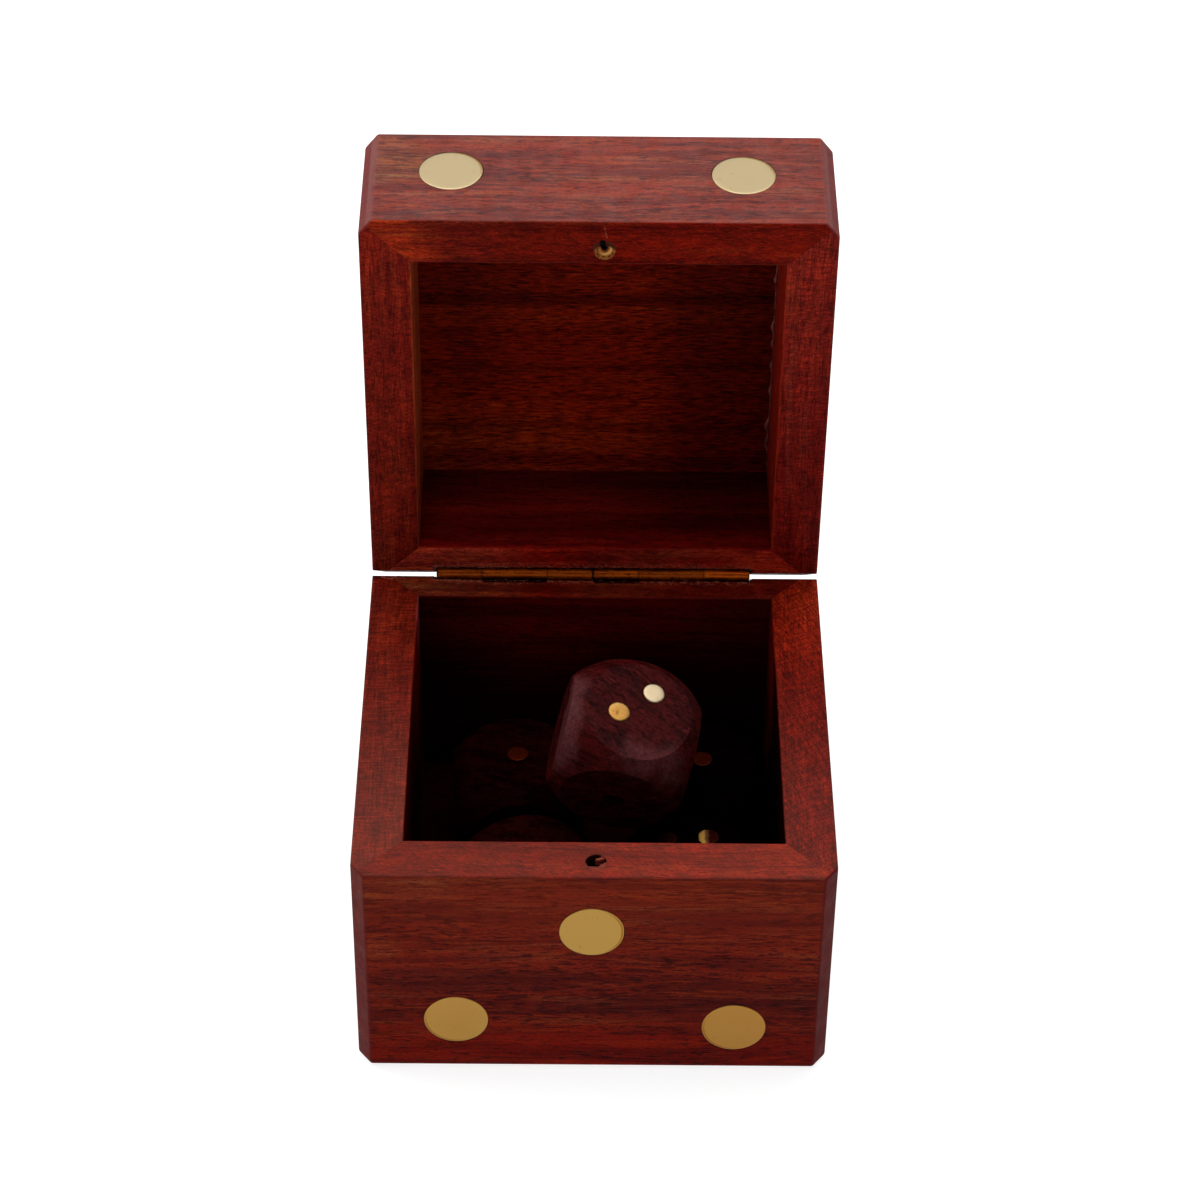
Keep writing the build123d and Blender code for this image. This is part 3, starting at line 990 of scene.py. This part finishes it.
def skin_plug(work, rings, look):
    """Covers a plug's rings; its faces know their part of the radius, turn and look."""
    polar, tone = work.loops.layers.uv["polar"], work.loops.layers.uv["tone"]
    steps = len(rings[-1][1])
    for (part_a, ring_a), (part_b, ring_b) in zip(rings, rings[1:]):
        for step in range(steps):
            follow = (step + 1) % steps
            turn, turn_on = step / steps, (step + 1) / steps
            corners = [(ring_b[step], part_b, turn), (ring_b[follow], part_b, turn_on)]
            if len(ring_a) > 1:
                corners.append((ring_a[follow], part_a, turn_on))
            corners.append((ring_a[step % len(ring_a)], part_a, turn))
            face = work.faces.new([corner[0] for corner in corners])
            face.smooth = True
            for loop, (_, part, around) in zip(face.loops, corners):
                loop[polar].uv = (part, around)
                loop[tone].uv = (look.tone, look.stain)
    work.faces.new(list(reversed(rings[-1][1])))


def plug_piece(name, plugs, kind, seed, looks=None):
    """Hand-cut brass plugs; those without a look get one by chance."""
    chance = random.Random(seed)
    work = bmesh.new()
    work.loops.layers.uv.new("polar")
    work.loops.layers.uv.new("tone")
    for number, plug in enumerate(plugs):
        sideways = Vector((1, 0, 0)) if abs(plug.outward.x) < 0.7 else Vector((0, 1, 0))
        across = (sideways - plug.outward * plug.outward.dot(sideways)).normalized()
        up = plug.outward.cross(across)
        waves = []
        for k in (1, 2, 3, 5, 8):
            waves.append((k, chance.uniform(0.2, 1.0) / k, chance.uniform(0, math.tau)))
        look = looks[number] if looks else Look(chance.random(), chance.random(), 0.0)
        outline = hand_cut(kind, waves, look)
        rings = []
        for part, height in kind.section + [(1.0, -kind.depth)]:
            middle = plug.centre / MM + plug.outward * height
            reaches = [part * reach for reach in outline] if part else [0.0]
            rings.append((part, add_ring(work, circle(middle, across, up, reaches))))
        skin_plug(work, rings, look)
    return mesh_piece(name, work)


def brass_paint(name, tones, edge, grain, roughness):
    """Ground brass: cloudy, faintly scratched, tarnished where it meets the wood.

    The tones are stops from a plug's darkest tone, 0, to its palest, 1.
    """
    paint = Paint(name, metallic=1.0)
    point = paint.point()
    part, around = paint.uv("polar")
    own, stained_at = paint.uv("tone")
    cloud = point.noise(grain, 3.0, 0.6)
    speck = point.noise(6.0 * grain)
    hair = point.turned((0.3, 0.5, 0.6)).noise((0.5, 14.0, 14.0))
    colour = (own + (cloud - 0.5) * 0.7).fade(tones)
    colour = colour.mix(speck.ramp(0.66, 0.74, 0.0, 0.35), edge)
    from_stain = abs((around - stained_at + 0.5).math("FRACT") - 0.5)
    crescent = abs(part - 0.94).fall(0.012, 0.045)
    crescent *= from_stain.fall(0.07, 0.2, 0.85)
    colour = colour.mix(crescent, edge)
    tarnish = part + cloud * 0.02
    colour = colour.mix(tarnish.ramp(1.0, 1.012, 0.0, 0.85), edge)
    paint.bump(cloud - hair.ramp(0.6, 0.7) * 0.15, 0.02)
    return paint.finish(colour, hair.ramp(0.3, 0.75, roughness, roughness + 0.12))


GOLDEN_TONES = [(0.0, (0.325, 0.158, 0.032)), (1.0, (0.35, 0.202, 0.047))]
# The lid front's discs take paler tones: brass with a painted sheen of the light from above.
SHEENED_TONES = [(0.0, (0.295, 0.22, 0.115)), (1.0, (0.335, 0.26, 0.146))]
# The pips' tones: a lit copy for the top die, and a copy darkened with painted shade for the dice
# below.
LIT_PIP_TONES = [
    (0.0, (0.14, 0.014, 0.011)),
    (0.3, (0.16, 0.06, 0.012)),
    (0.45, (0.29, 0.15, 0.036)),
    (1.0, (0.38, 0.3, 0.19)),
]
SHADED_PIP_TONES = [
    (0.0, (0.012, 0.002, 0.0004)),
    (0.5, (0.055, 0.006, 0.0008)),
    (1.0, (0.1, 0.014, 0.002)),
]

# The middles of the two halves, in metres; the discs face away from them.
HUBS = {"base": Vector((0, 0, 0.018)), "lid": Vector((0, 0.039, 0.066))}
DISC_FACES = {"base": "front back left right", "lid": "front back left right top"}

# How the three discs of the base's front look, from the left.
FRONT_DISCS = [Look(0.55, 0.63, 0.0), Look(1.0, 0.0, 0.05), Look(0.15, 0.6, 0.0)]


def make_discs():
    golden = brass_paint("disc_gold", GOLDEN_TONES, (0.24, 0.085, 0.01), 0.16, 0.3)
    pale = brass_paint("disc_sheened", SHEENED_TONES, (0.27, 0.15, 0.04), 0.16, 0.34)
    seed = 0
    for body, names in DISC_FACES.items():
        for name in names.split():
            seed += 1
            node = f"{body}_{name}_discs"
            looks = FRONT_DISCS if (body, name) == ("base", "front") else None
            piece = plug_piece(f"{body}_{name}_brass", plugs_of(node, HUBS[body]), DISC, seed, looks)
            dress(piece, body, "disc_brass", pale if (body, name) == ("lid", "front") else golden, node)


# The tones of the pips on each die's upper face, from the left: painted light and shade, higher where
# more light falls on a pip.
PIP_TONES = {
    "die_top": (0.5, 1.0),
    "die_back_left": (0.5, 0.5),
    "die_back_right": (0.35, 0.35),
    "die_front_left": (0.4, 0.4),
    "die_front_right": (0.2, 0.4),
}
# Pips on the dice's sides take the darkest tone: painted shade.
SHADED_SIDE_TONE = -0.1
PIP_STAIN = 0.6


def make_pips():
    painted_lit = brass_paint("pip_lit", LIT_PIP_TONES, (0.14, 0.05, 0.01), 0.7, 0.36)
    dull_shaded = brass_paint("pip_shaded", SHADED_PIP_TONES, (0.03, 0.006, 0.001), 1.1, 0.5)
    for number, (name, tones) in enumerate(PIP_TONES.items()):
        low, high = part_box(name)
        plugs = plugs_of(f"{name}_pips", (Vector(low) + Vector(high)) / 2)
        upward = [plug for plug in plugs if plug.outward.z > 0.8]
        looks = []
        for plug in plugs:
            tone = tones[min(upward.index(plug), 1)] if plug in upward else SHADED_SIDE_TONE
            looks.append(Look(tone, PIP_STAIN, 0.0))
        # The top die's pips get the lit finish; the pips of the dice below lie in painted shade.
        body, finish = ("die_top", painted_lit) if name == "die_top" else ("base", dull_shaded)
        if name == "die_front_right":
            finish = glint_paint(max(plug.centre.x for plug in upward) / MM)
        piece = plug_piece(f"{name}_brass", plugs, PIP, 40 + number, looks)
        dress(piece, body, "pip_brass", finish, f"{name}_pips")


# The light on the left of one pip, from its left edge to its middle.
GLINT = [(-1.0, (0.5, 0.28, 0.06)), (-0.68, (0.12, 0.06, 0.025)), (-0.2, (0.0, 0.0, 0.0))]


def glint_paint(middle):
    """Pips darkened with painted shade, one of which has painted light on its left side."""
    paint = Paint("pip_glint", metallic=0.6, specular=0.02)
    point = paint.point()
    x, _, _ = point.parts()
    cloud = point.noise(1.1, 3.0)
    speck = point.noise(5.0)
    off = x - middle + (cloud - 0.5) * 0.5
    dull_shaded = speck.ramp(0.4, 0.65).between((0.014, 0.0014, 0.0004), (0.034, 0.0036, 0.001))
    near = abs(off).fall(1.6, 1.7)
    colour = dull_shaded.mix(near, off.fade(GLINT), "ADD")
    paint.bump(cloud, 0.02)
    return paint.finish(colour, speck.ramp(0.3, 0.7, 0.35, 0.5))


# --- Hinge brass ---

# Where the knuckles meet, along x, and how dark the brass is there.
KNUCKLE_JOINTS = {
    -22.5: 0.6,
    -16.06: 0.45,
    -6.79: 0.35,
    -0.25: 0.95,
    6.29: 0.4,
    15.56: 0.4,
    22.03: 0.6,
}


def hinge_paint(name, pale, deep, shade=0.5):
    """Old drawn brass, brown in the hollows, black where the knuckles meet, and darkened low down with
    painted shade.

    The shade is the height above the hinges' axis up to which painted shade darkens it nearly to black.
    """
    paint = Paint(name, metallic=0.9, specular=0.1)
    point = paint.point()
    x, _, z = point.parts()
    cloud = point.noise((0.5, 0.9, 0.9), 3.0, 0.65)
    drawn = point.noise((0.25, 9.0, 9.0))
    grime = point.noise(2.6, 3.0)
    colour = cloud.ramp(0.32, 0.68).between(deep, pale)
    colour = colour.mix(drawn.ramp(0.55, 0.7, 0.0, 0.5), (0.1, 0.025, 0.003))
    colour = colour.mix(grime.ramp(0.58, 0.7, 0.0, 0.8), (0.035, 0.009, 0.002))
    colour *= x.ramp(15.4, 15.8, 1.0, 1.45)
    joint = 0.0
    for place, strength in KNUCKLE_JOINTS.items():
        joint = abs(x - place).fall(0.06, 0.3, strength).larger(joint)
    top = AXIS[2] + shade
    # Painted shade: the brass is darkened below the shade height, ragged with the grime.
    shaded_below = (z + grime * 0.4).fall(top - 0.8, top, 0.92)
    colour = colour.mix(shaded_below.larger(joint), (0.016, 0.004, 0.002))
    paint.bump(drawn + grime, 0.01)
    return paint.finish(colour, cloud.ramp(0.3, 0.7, 0.34, 0.55))


def finish_hinges():
    # The last number is how high the painted shade reaches on each leaf.
    flat = hinge_paint("hinge_flat", (0.28, 0.05, 0.0028), (0.16, 0.024, 0.0014), 0.4)
    round_ = hinge_paint("hinge_round", (0.33, 0.06, 0.0032), (0.18, 0.026, 0.0014), 0.85)
    dull_shaded = hinge_paint("pin_aged", (0.2, 0.06, 0.01), (0.1, 0.03, 0.005))
    for hinge in ("left_hinge", "right_hinge"):
        assign(f"{hinge}_base_leaf", flat)
        assign(f"{hinge}_lid_leaf", round_)
        assign(f"{hinge}_pin", dull_shaded)
    assign("base_leaf_nails", flat)
    assign("lid_leaf_nails", flat)


# A dark blotchy filling that stands in for shade in the knuckles' slits, darkest in the middle slit.
def slit_shade_paint():
    paint = Paint("hinge_slit_shade", roughness=0.9, specular=0.05)
    point = paint.point()
    blotch = point.noise(2.5, 3.0)
    x, _, _ = point.parts()
    middle = abs(x + 0.25).ramp(0.5, 1.0, 0.1, 1.0)
    colour = blotch.ramp(0.4, 0.65).between((0.03, 0.007, 0.002), (0.08, 0.02, 0.003))
    paint.bump(blotch, 0.02)
    return paint.finish(colour * middle, blotch.ramp(0.3, 0.7, 0.8, 0.95))


# The slits between neighbouring knuckles, along x, and the reach of their dark filling about the axis.
KNUCKLE_SLITS = [
    (-16.105, -16.025),
    (-6.825, -6.745),
    (-0.325, -0.175),
    (6.245, 6.325),
    (15.525, 15.605),
]
SLIT_SHADE_INNER = 0.46
SLIT_SHADE_OUTER = 0.93
SLIT_SHADE_CLEAR = 0.008
SLIT_SHADE_STEPS = 32


def make_slit_shade():
    """A dark filling that stands in for the shade in the slits between the knuckles."""
    chance = random.Random(61)
    work = bmesh.new()
    for start, end in KNUCKLE_SLITS:
        ragged = [SLIT_SHADE_OUTER * chance.uniform(0.94, 1.0) for _ in range(SLIT_SHADE_STEPS)]
        bore = [SLIT_SHADE_INNER] * SLIT_SHADE_STEPS
        left, right = start + SLIT_SHADE_CLEAR, end - SLIT_SHADE_CLEAR
        rings = []
        for x, reaches in ((left, ragged), (right, ragged), (right, bore), (left, bore)):
            spots = circle(Vector((x, *AXIS[1:])), Vector((0, 1, 0)), Vector((0, 0, 1)), reaches)
            rings.append(add_ring(work, spots))
        bridge(work, rings + rings[:1])
    dress(mesh_piece("base_hinge_slit_shade", work), "base", "hinge_brass", slit_shade_paint())


# --- Small pieces of wood and glue ---


def opened(point):
    """Where a point of the closed lid, in mm, is with the lid open."""
    pivot = Vector(AXIS)
    return pivot + Matrix.Rotation(-OPEN_ANGLE, 3, "X") @ (Vector(point) - pivot)


def tube(work, spots, radii, sides):
    """Adds a closed round strand through the spots, in mm."""
    rings = []
    for i, (spot, radius) in enumerate(zip(spots, radii)):
        ahead = (spots[min(i + 1, len(spots) - 1)] - spots[max(i - 1, 0)]).normalized()
        across = ahead.orthogonal() if i == 0 else across
        across = (across - ahead * across.dot(ahead)).normalized()
        rings.append(add_ring(work, circle(spot, across, ahead.cross(across), [radius] * sides)))
    solid(work, rings, smooth=True)


def splinter_paint(name, pale, deep, fine=0.8):
    """Raw torn fibres: pale at the tips, with darker strands."""
    paint = Paint(name, roughness=0.7, specular=0.1)
    point = paint.point()
    strand = point.noise((fine, 6.0, 6.0), 3.0)
    speck = point.noise(3.0)
    colour = strand.ramp(0.35, 0.65).between(deep, pale)
    colour = colour.mix(speck.ramp(0.55, 0.7, 0.0, 0.6), deep)
    paint.bump(strand, 0.02)
    return paint.finish(colour, speck.ramp(0.3, 0.7, 0.6, 0.85))


# Chips left in the base's catch socket: outlines in mm from its middle, and the depths
# below the rim that they pass through.
CATCH_CHIPS = [
    [
        (1.4, 0.16), (1.06, -0.11), (0.55, -0.36), (0.22, -0.88), (-0.34, -1.1),
        (-0.88, -1.0), (-1.2, -0.45), (-1.4, 0.16), (-1.33, -0.42), (-1.05, -0.92),
        (-0.6, -1.27), (0.0, -1.4), (0.6, -1.27), (1.05, -0.92), (1.33, -0.42),
    ],
    [
        (0.72, 1.2), (0.58, 0.98), (0.08, 0.76), (-0.12, 0.47), (0.45, 0.42), (0.81, 0.64),
        (1.15, 0.79),
    ],
]
CHIP_DEPTHS = (0.03, 0.12, 0.9)


def make_catch_chips():
    """The torn edge of the base's catch socket."""
    chance = random.Random(91)
    work = bmesh.new()
    for outline in CATCH_CHIPS:
        rings = []
        for depth in CHIP_DEPTHS:
            spots = []
            for dx, dy in outline:
                low = BASE_RIM - depth - chance.uniform(0.0, 0.05)
                spots.append((BASE_CATCH[0] + dx, BASE_CATCH[1] + dy, low))
            rings.append(add_ring(work, spots))
        solid(work, rings)
    split_large_faces(work)
    finish = splinter_paint("catch_chips", (0.2, 0.036, 0.02), (0.11, 0.014, 0.008))
    dress(mesh_piece("base_catch_chips", work), "base", "box_wood", finish)


# The lid's catch socket from its mouth inwards: radius and depth in mm. Its two outermost
# rings are true circles and the others are ragged.
CUP_SECTION = [
    (1.41, 0.03),
    (1.32, 0.12),
    (1.08, 0.4),
    (0.8, 0.58),
    (0.55, 0.64),
    (0.4, 0.7),
    (0.34, 2.85),
]
CUP_TRUE = 1.3
CUP_RAGGED = 0.02
CUP_BACK = 2.9
CUP_STEPS = 32


def make_catch_cup():
    """The lid's catch socket: a countersunk bore in pale bare wood."""
    chance = random.Random(92)
    work = bmesh.new()

    def ring(reaches, depth):
        middle = Vector((*LID_CATCH, LID_RIM + depth))
        spots = circle(middle, Vector((1, 0, 0)), Vector((0, 1, 0)), reaches)
        return add_ring(work, [opened(spot) for spot in spots])

    rings = []
    for radius, depth in CUP_SECTION:
        reaches = [radius] * CUP_STEPS
        if radius < CUP_TRUE:
            reaches = [radius * (1.0 + chance.uniform(-CUP_RAGGED, CUP_RAGGED)) for _ in reaches]
        rings.append(ring(reaches, depth))
    bridge(work, rings, smooth=True)
    work.faces.new(list(reversed(rings[-1])))
    back = ring([CUP_SECTION[0][0]] * CUP_STEPS, CUP_BACK)
    bridge(work, [back, rings[0]])
    work.faces.new(back)
    dress(mesh_piece("lid_catch_cup", work), "lid", "box_wood", cup_paint())


def cup_paint():
    """Bare wood: golden in painted light towards the box's inside, in painted shadow towards its front,
    with a split and the deep bore painted black as shade.
    """
    paint = Paint("catch_cup_wood", roughness=0.6, specular=0.03)
    x, y, z = closed_point(paint, "lid").parts()
    right, low = x - LID_CATCH[0], y - LID_CATCH[1]
    apart = squares(right, low).math("SQRT")
    speck = paint.point().noise(2.6, 3.0)
    ragged = (speck - 0.5) * 0.9
    little = ragged * 0.3
    colour = speck.ramp(0.42, 0.6).between((0.4, 0.145, 0.034), (0.17, 0.045, 0.011))
    # Painted light on the bore's wall, on its side towards the box's inside.
    ring = abs(apart - 0.86).fall(0.06, 0.24, 0.9)
    painted_lit = (low + right + ragged).ramp(-0.4, 1.0)
    colour = colour.mix(ring * painted_lit, (0.8, 0.42, 0.11))
    middle = (apart + little).fall(0.42, 0.62)
    colour = colour.mix(middle, (0.17, 0.03, 0.013))
    # Painted shadow cast by the bore's front edge.
    painted_shadow = (low + ragged).fall(-0.55, 0.1)
    colour = colour.mix(painted_shadow, (0.045, 0.011, 0.007))
    # The split and the deep bore are painted black, as their shade.
    split = oval(x + little, y, (0.52, -28.05), (0.44, 1.2))
    deep = z.ramp(LID_RIM + 0.72, LID_RIM + 0.9)
    colour = colour.mix(split.larger(deep), (0.002, 0.001, 0.001))
    paint.bump(speck, 0.04)
    return paint.finish(colour, speck.ramp(0.3, 0.7, 0.4, 0.7))


# The cross section of the wood left at either end of the hinges' groove, y and z, the point
# that it shrinks towards, its two stretches along x, and how far each ring has shrunk.
SHOULDER = [
    (28.8, 35.97), (29.36, 35.97), (29.9, 35.44), (30.35, 34.99), (30.1, 34.98),
    (29.9, 34.97), (29.5, 35.03), (29.12, 35.28), (28.88, 35.62),
]
SHOULDER_HEART = (29.6, 35.3)
SHOULDER_ENDS = [(-22.9, -22.58), (22.12, 22.4)]
SHOULDER_SHRINK = {0.0: 0.06, 0.35: 0.03, 0.7: 0.03, 1.0: 0.06}


def make_shoulders():
    """Torn wood left standing at the two ends of the hinges' groove."""
    chance = random.Random(73)
    work = bmesh.new()
    for start, end in SHOULDER_ENDS:
        rings = []
        for part, shrink in SHOULDER_SHRINK.items():
            spots = []
            for y, z in SHOULDER:
                y += (SHOULDER_HEART[0] - y) * shrink + chance.uniform(-0.02, 0.02)
                z += (SHOULDER_HEART[1] - z) * shrink - abs(chance.gauss(0, 0.02))
                spots.append((start + (end - start) * part, y, z))
            rings.append(add_ring(work, spots))
        solid(work, rings)
    split_large_faces(work)
    finish = splinter_paint("torn_shoulders", (0.15, 0.028, 0.014), (0.05, 0.006, 0.004))
    dress(mesh_piece("base_torn_shoulders", work), "base", "box_wood", finish)


# Large torn fibres at the hinges' edge: the closed places they pass through. All the
# fibres keep within the gap between the shut rims.
TORN_FIBRES = {
    "base": [
        [(-30.6, 29.3, 35.94), (-29.9, 28.9, 35.97), (-29.0, 28.7, 35.98), (-28.2, 29.2, 35.95)],
        [(-29.3, 28.6, 35.95), (-28.6, 29.0, 35.98), (-27.9, 29.5, 35.94)],
        [(-27.6, 29.4, 35.94), (-27.0, 28.7, 35.98), (-26.3, 28.0, 35.95)],
        [(-27.9, 29.5, 35.93), (-27.8, 28.9, 35.98), (-27.3, 28.5, 35.95)],
        [(-28.4, 29.1, 35.94), (-28.1, 28.6, 35.97), (-28.2, 28.2, 35.94)],
    ],
    "lid": [
        [(-23.2, 29.0, 36.18), (-22.7, 28.7, 36.15), (-22.3, 29.3, 36.15), (-22.0, 29.5, 36.18)],
        [(-25.0, 29.2, 36.18), (-24.8, 28.9, 36.15), (-24.6, 29.3, 36.17)],
        [(-23.0, 29.5, 36.18), (-22.8, 29.1, 36.15), (-22.5, 28.6, 36.17)],
    ],
}
TORN_RADIUS = 0.08
FIBRE_SEEDS = {"base": 71, "lid": 72}


def edge_fibres(body, chance):
    """Short fibres that stand at all angles along the rim's edge, where the hinges are let in."""
    places = []
    x = -23.2
    rim, way = (BASE_RIM, 1) if body == "base" else (LID_RIM, -1)
    while x < 22.3:
        length, angle = chance.uniform(0.25, 0.8), chance.gauss(0.0, 0.7)
        y, lift = HINGE_EDGE - abs(chance.gauss(0.0, 0.16)) - 0.04, chance.uniform(0.0, 0.02)
        out = Vector((math.cos(angle), math.sin(angle), 0)) * length
        out.y = min(out.y, 0.12)
        root = Vector((x, y, rim - 0.03 * way))
        middle = root + out * 0.5 + Vector((0, chance.uniform(-0.05, 0.05), way * (lift + 0.03)))
        places.append([root, middle, root + out + Vector((0, 0, way * 0.03))])
        x += chance.uniform(0.12, 0.6) if x < -10 else chance.uniform(0.3, 1.8)
    return places


def fibre_radius(body, x):
    """The fibres are coarsest on the lid, over the first two knuckles."""
    return 0.05 if body == "lid" and -17.0 < x < -12.5 else 0.035


def make_fibres():
    finish = splinter_paint("torn_fibres", (0.55, 0.2, 0.13), (0.2, 0.036, 0.022), 1.4)
    for body, torn in TORN_FIBRES.items():
        chance = random.Random(FIBRE_SEEDS[body])
        work = bmesh.new()
        fibres = [(path, TORN_RADIUS) for path in torn]
        fibres += [(path, fibre_radius(body, path[0].x)) for path in edge_fibres(body, chance)]
        for path, radius in fibres:
            spots = [Vector(spot) if body == "base" else opened(spot) for spot in path]
            radii = [radius * chance.uniform(0.6, 1.0) for _ in spots]
            radii[-1] *= 0.4
            tube(work, spots, radii, 5)
        dress(mesh_piece(f"{body}_torn_fibres", work), body, "box_wood", finish)


# Blobs of glue in the lid's right corner: closed y and size in mm.
GLUE_BLOBS = [
    (-17.9, 0.3),
    (-9.9, 0.34),
    (-1.8, 0.44),
    (1.4, 0.34),
    (5.2, 0.34),
    (9.7, 0.3),
    (16.2, 0.66),
    (19.4, 0.56),
]
GLUE_STEPS = 150
GLUE_FLOOR = TOP - 3.42


def glue_paint():
    """Dried glue: cloudy, half clear, with a dull shine."""
    paint = Paint("dried_glue", roughness=0.4, specular=0.3)
    point = paint.point()
    cloud = point.noise(0.9, 4.0, 0.6)
    thin = point.noise(0.25)
    colour = cloud.ramp(0.35, 0.65).between((0.09, 0.013, 0.009), (0.22, 0.06, 0.046))
    colour = colour.mix(thin.ramp(0.45, 0.6, 0.0, 0.7), (0.08, 0.008, 0.003))
    paint.bump(cloud, 0.03)
    return paint.finish(colour, cloud.ramp(0.3, 0.7, 0.3, 0.55))


def make_glue():
    """The bead that was squeezed out between the lid's top and its right wall."""
    chance = random.Random(81)
    spots, radii = [], []
    half = INNER - 0.4
    for step in range(GLUE_STEPS + 1):
        y = half * (2 * step / GLUE_STEPS - 1)
        swell = 0.0
        for place, size in GLUE_BLOBS:
            swell += 0.45 * size * math.exp(-(((y - place) / (1.3 * size + 0.25)) ** 2))
        radii.append(0.06 + 0.05 * chance.random() + swell)
        off = 0.05 + swell + 0.06 * chance.random()
        spots.append(opened((INNER - off, y, GLUE_FLOOR)))
    work = bmesh.new()
    tube(work, spots, radii, 8)
    dress(mesh_piece("lid_glue_bead", work), "lid", "panel_wood", glue_paint())


# --- The whole ---

make_camera()
make_studio()
finish_woods()
make_discs()
make_pips()
finish_hinges()
make_slit_shade()
make_shoulders()
make_fibres()
make_glue()
make_catch_chips()
make_catch_cup()
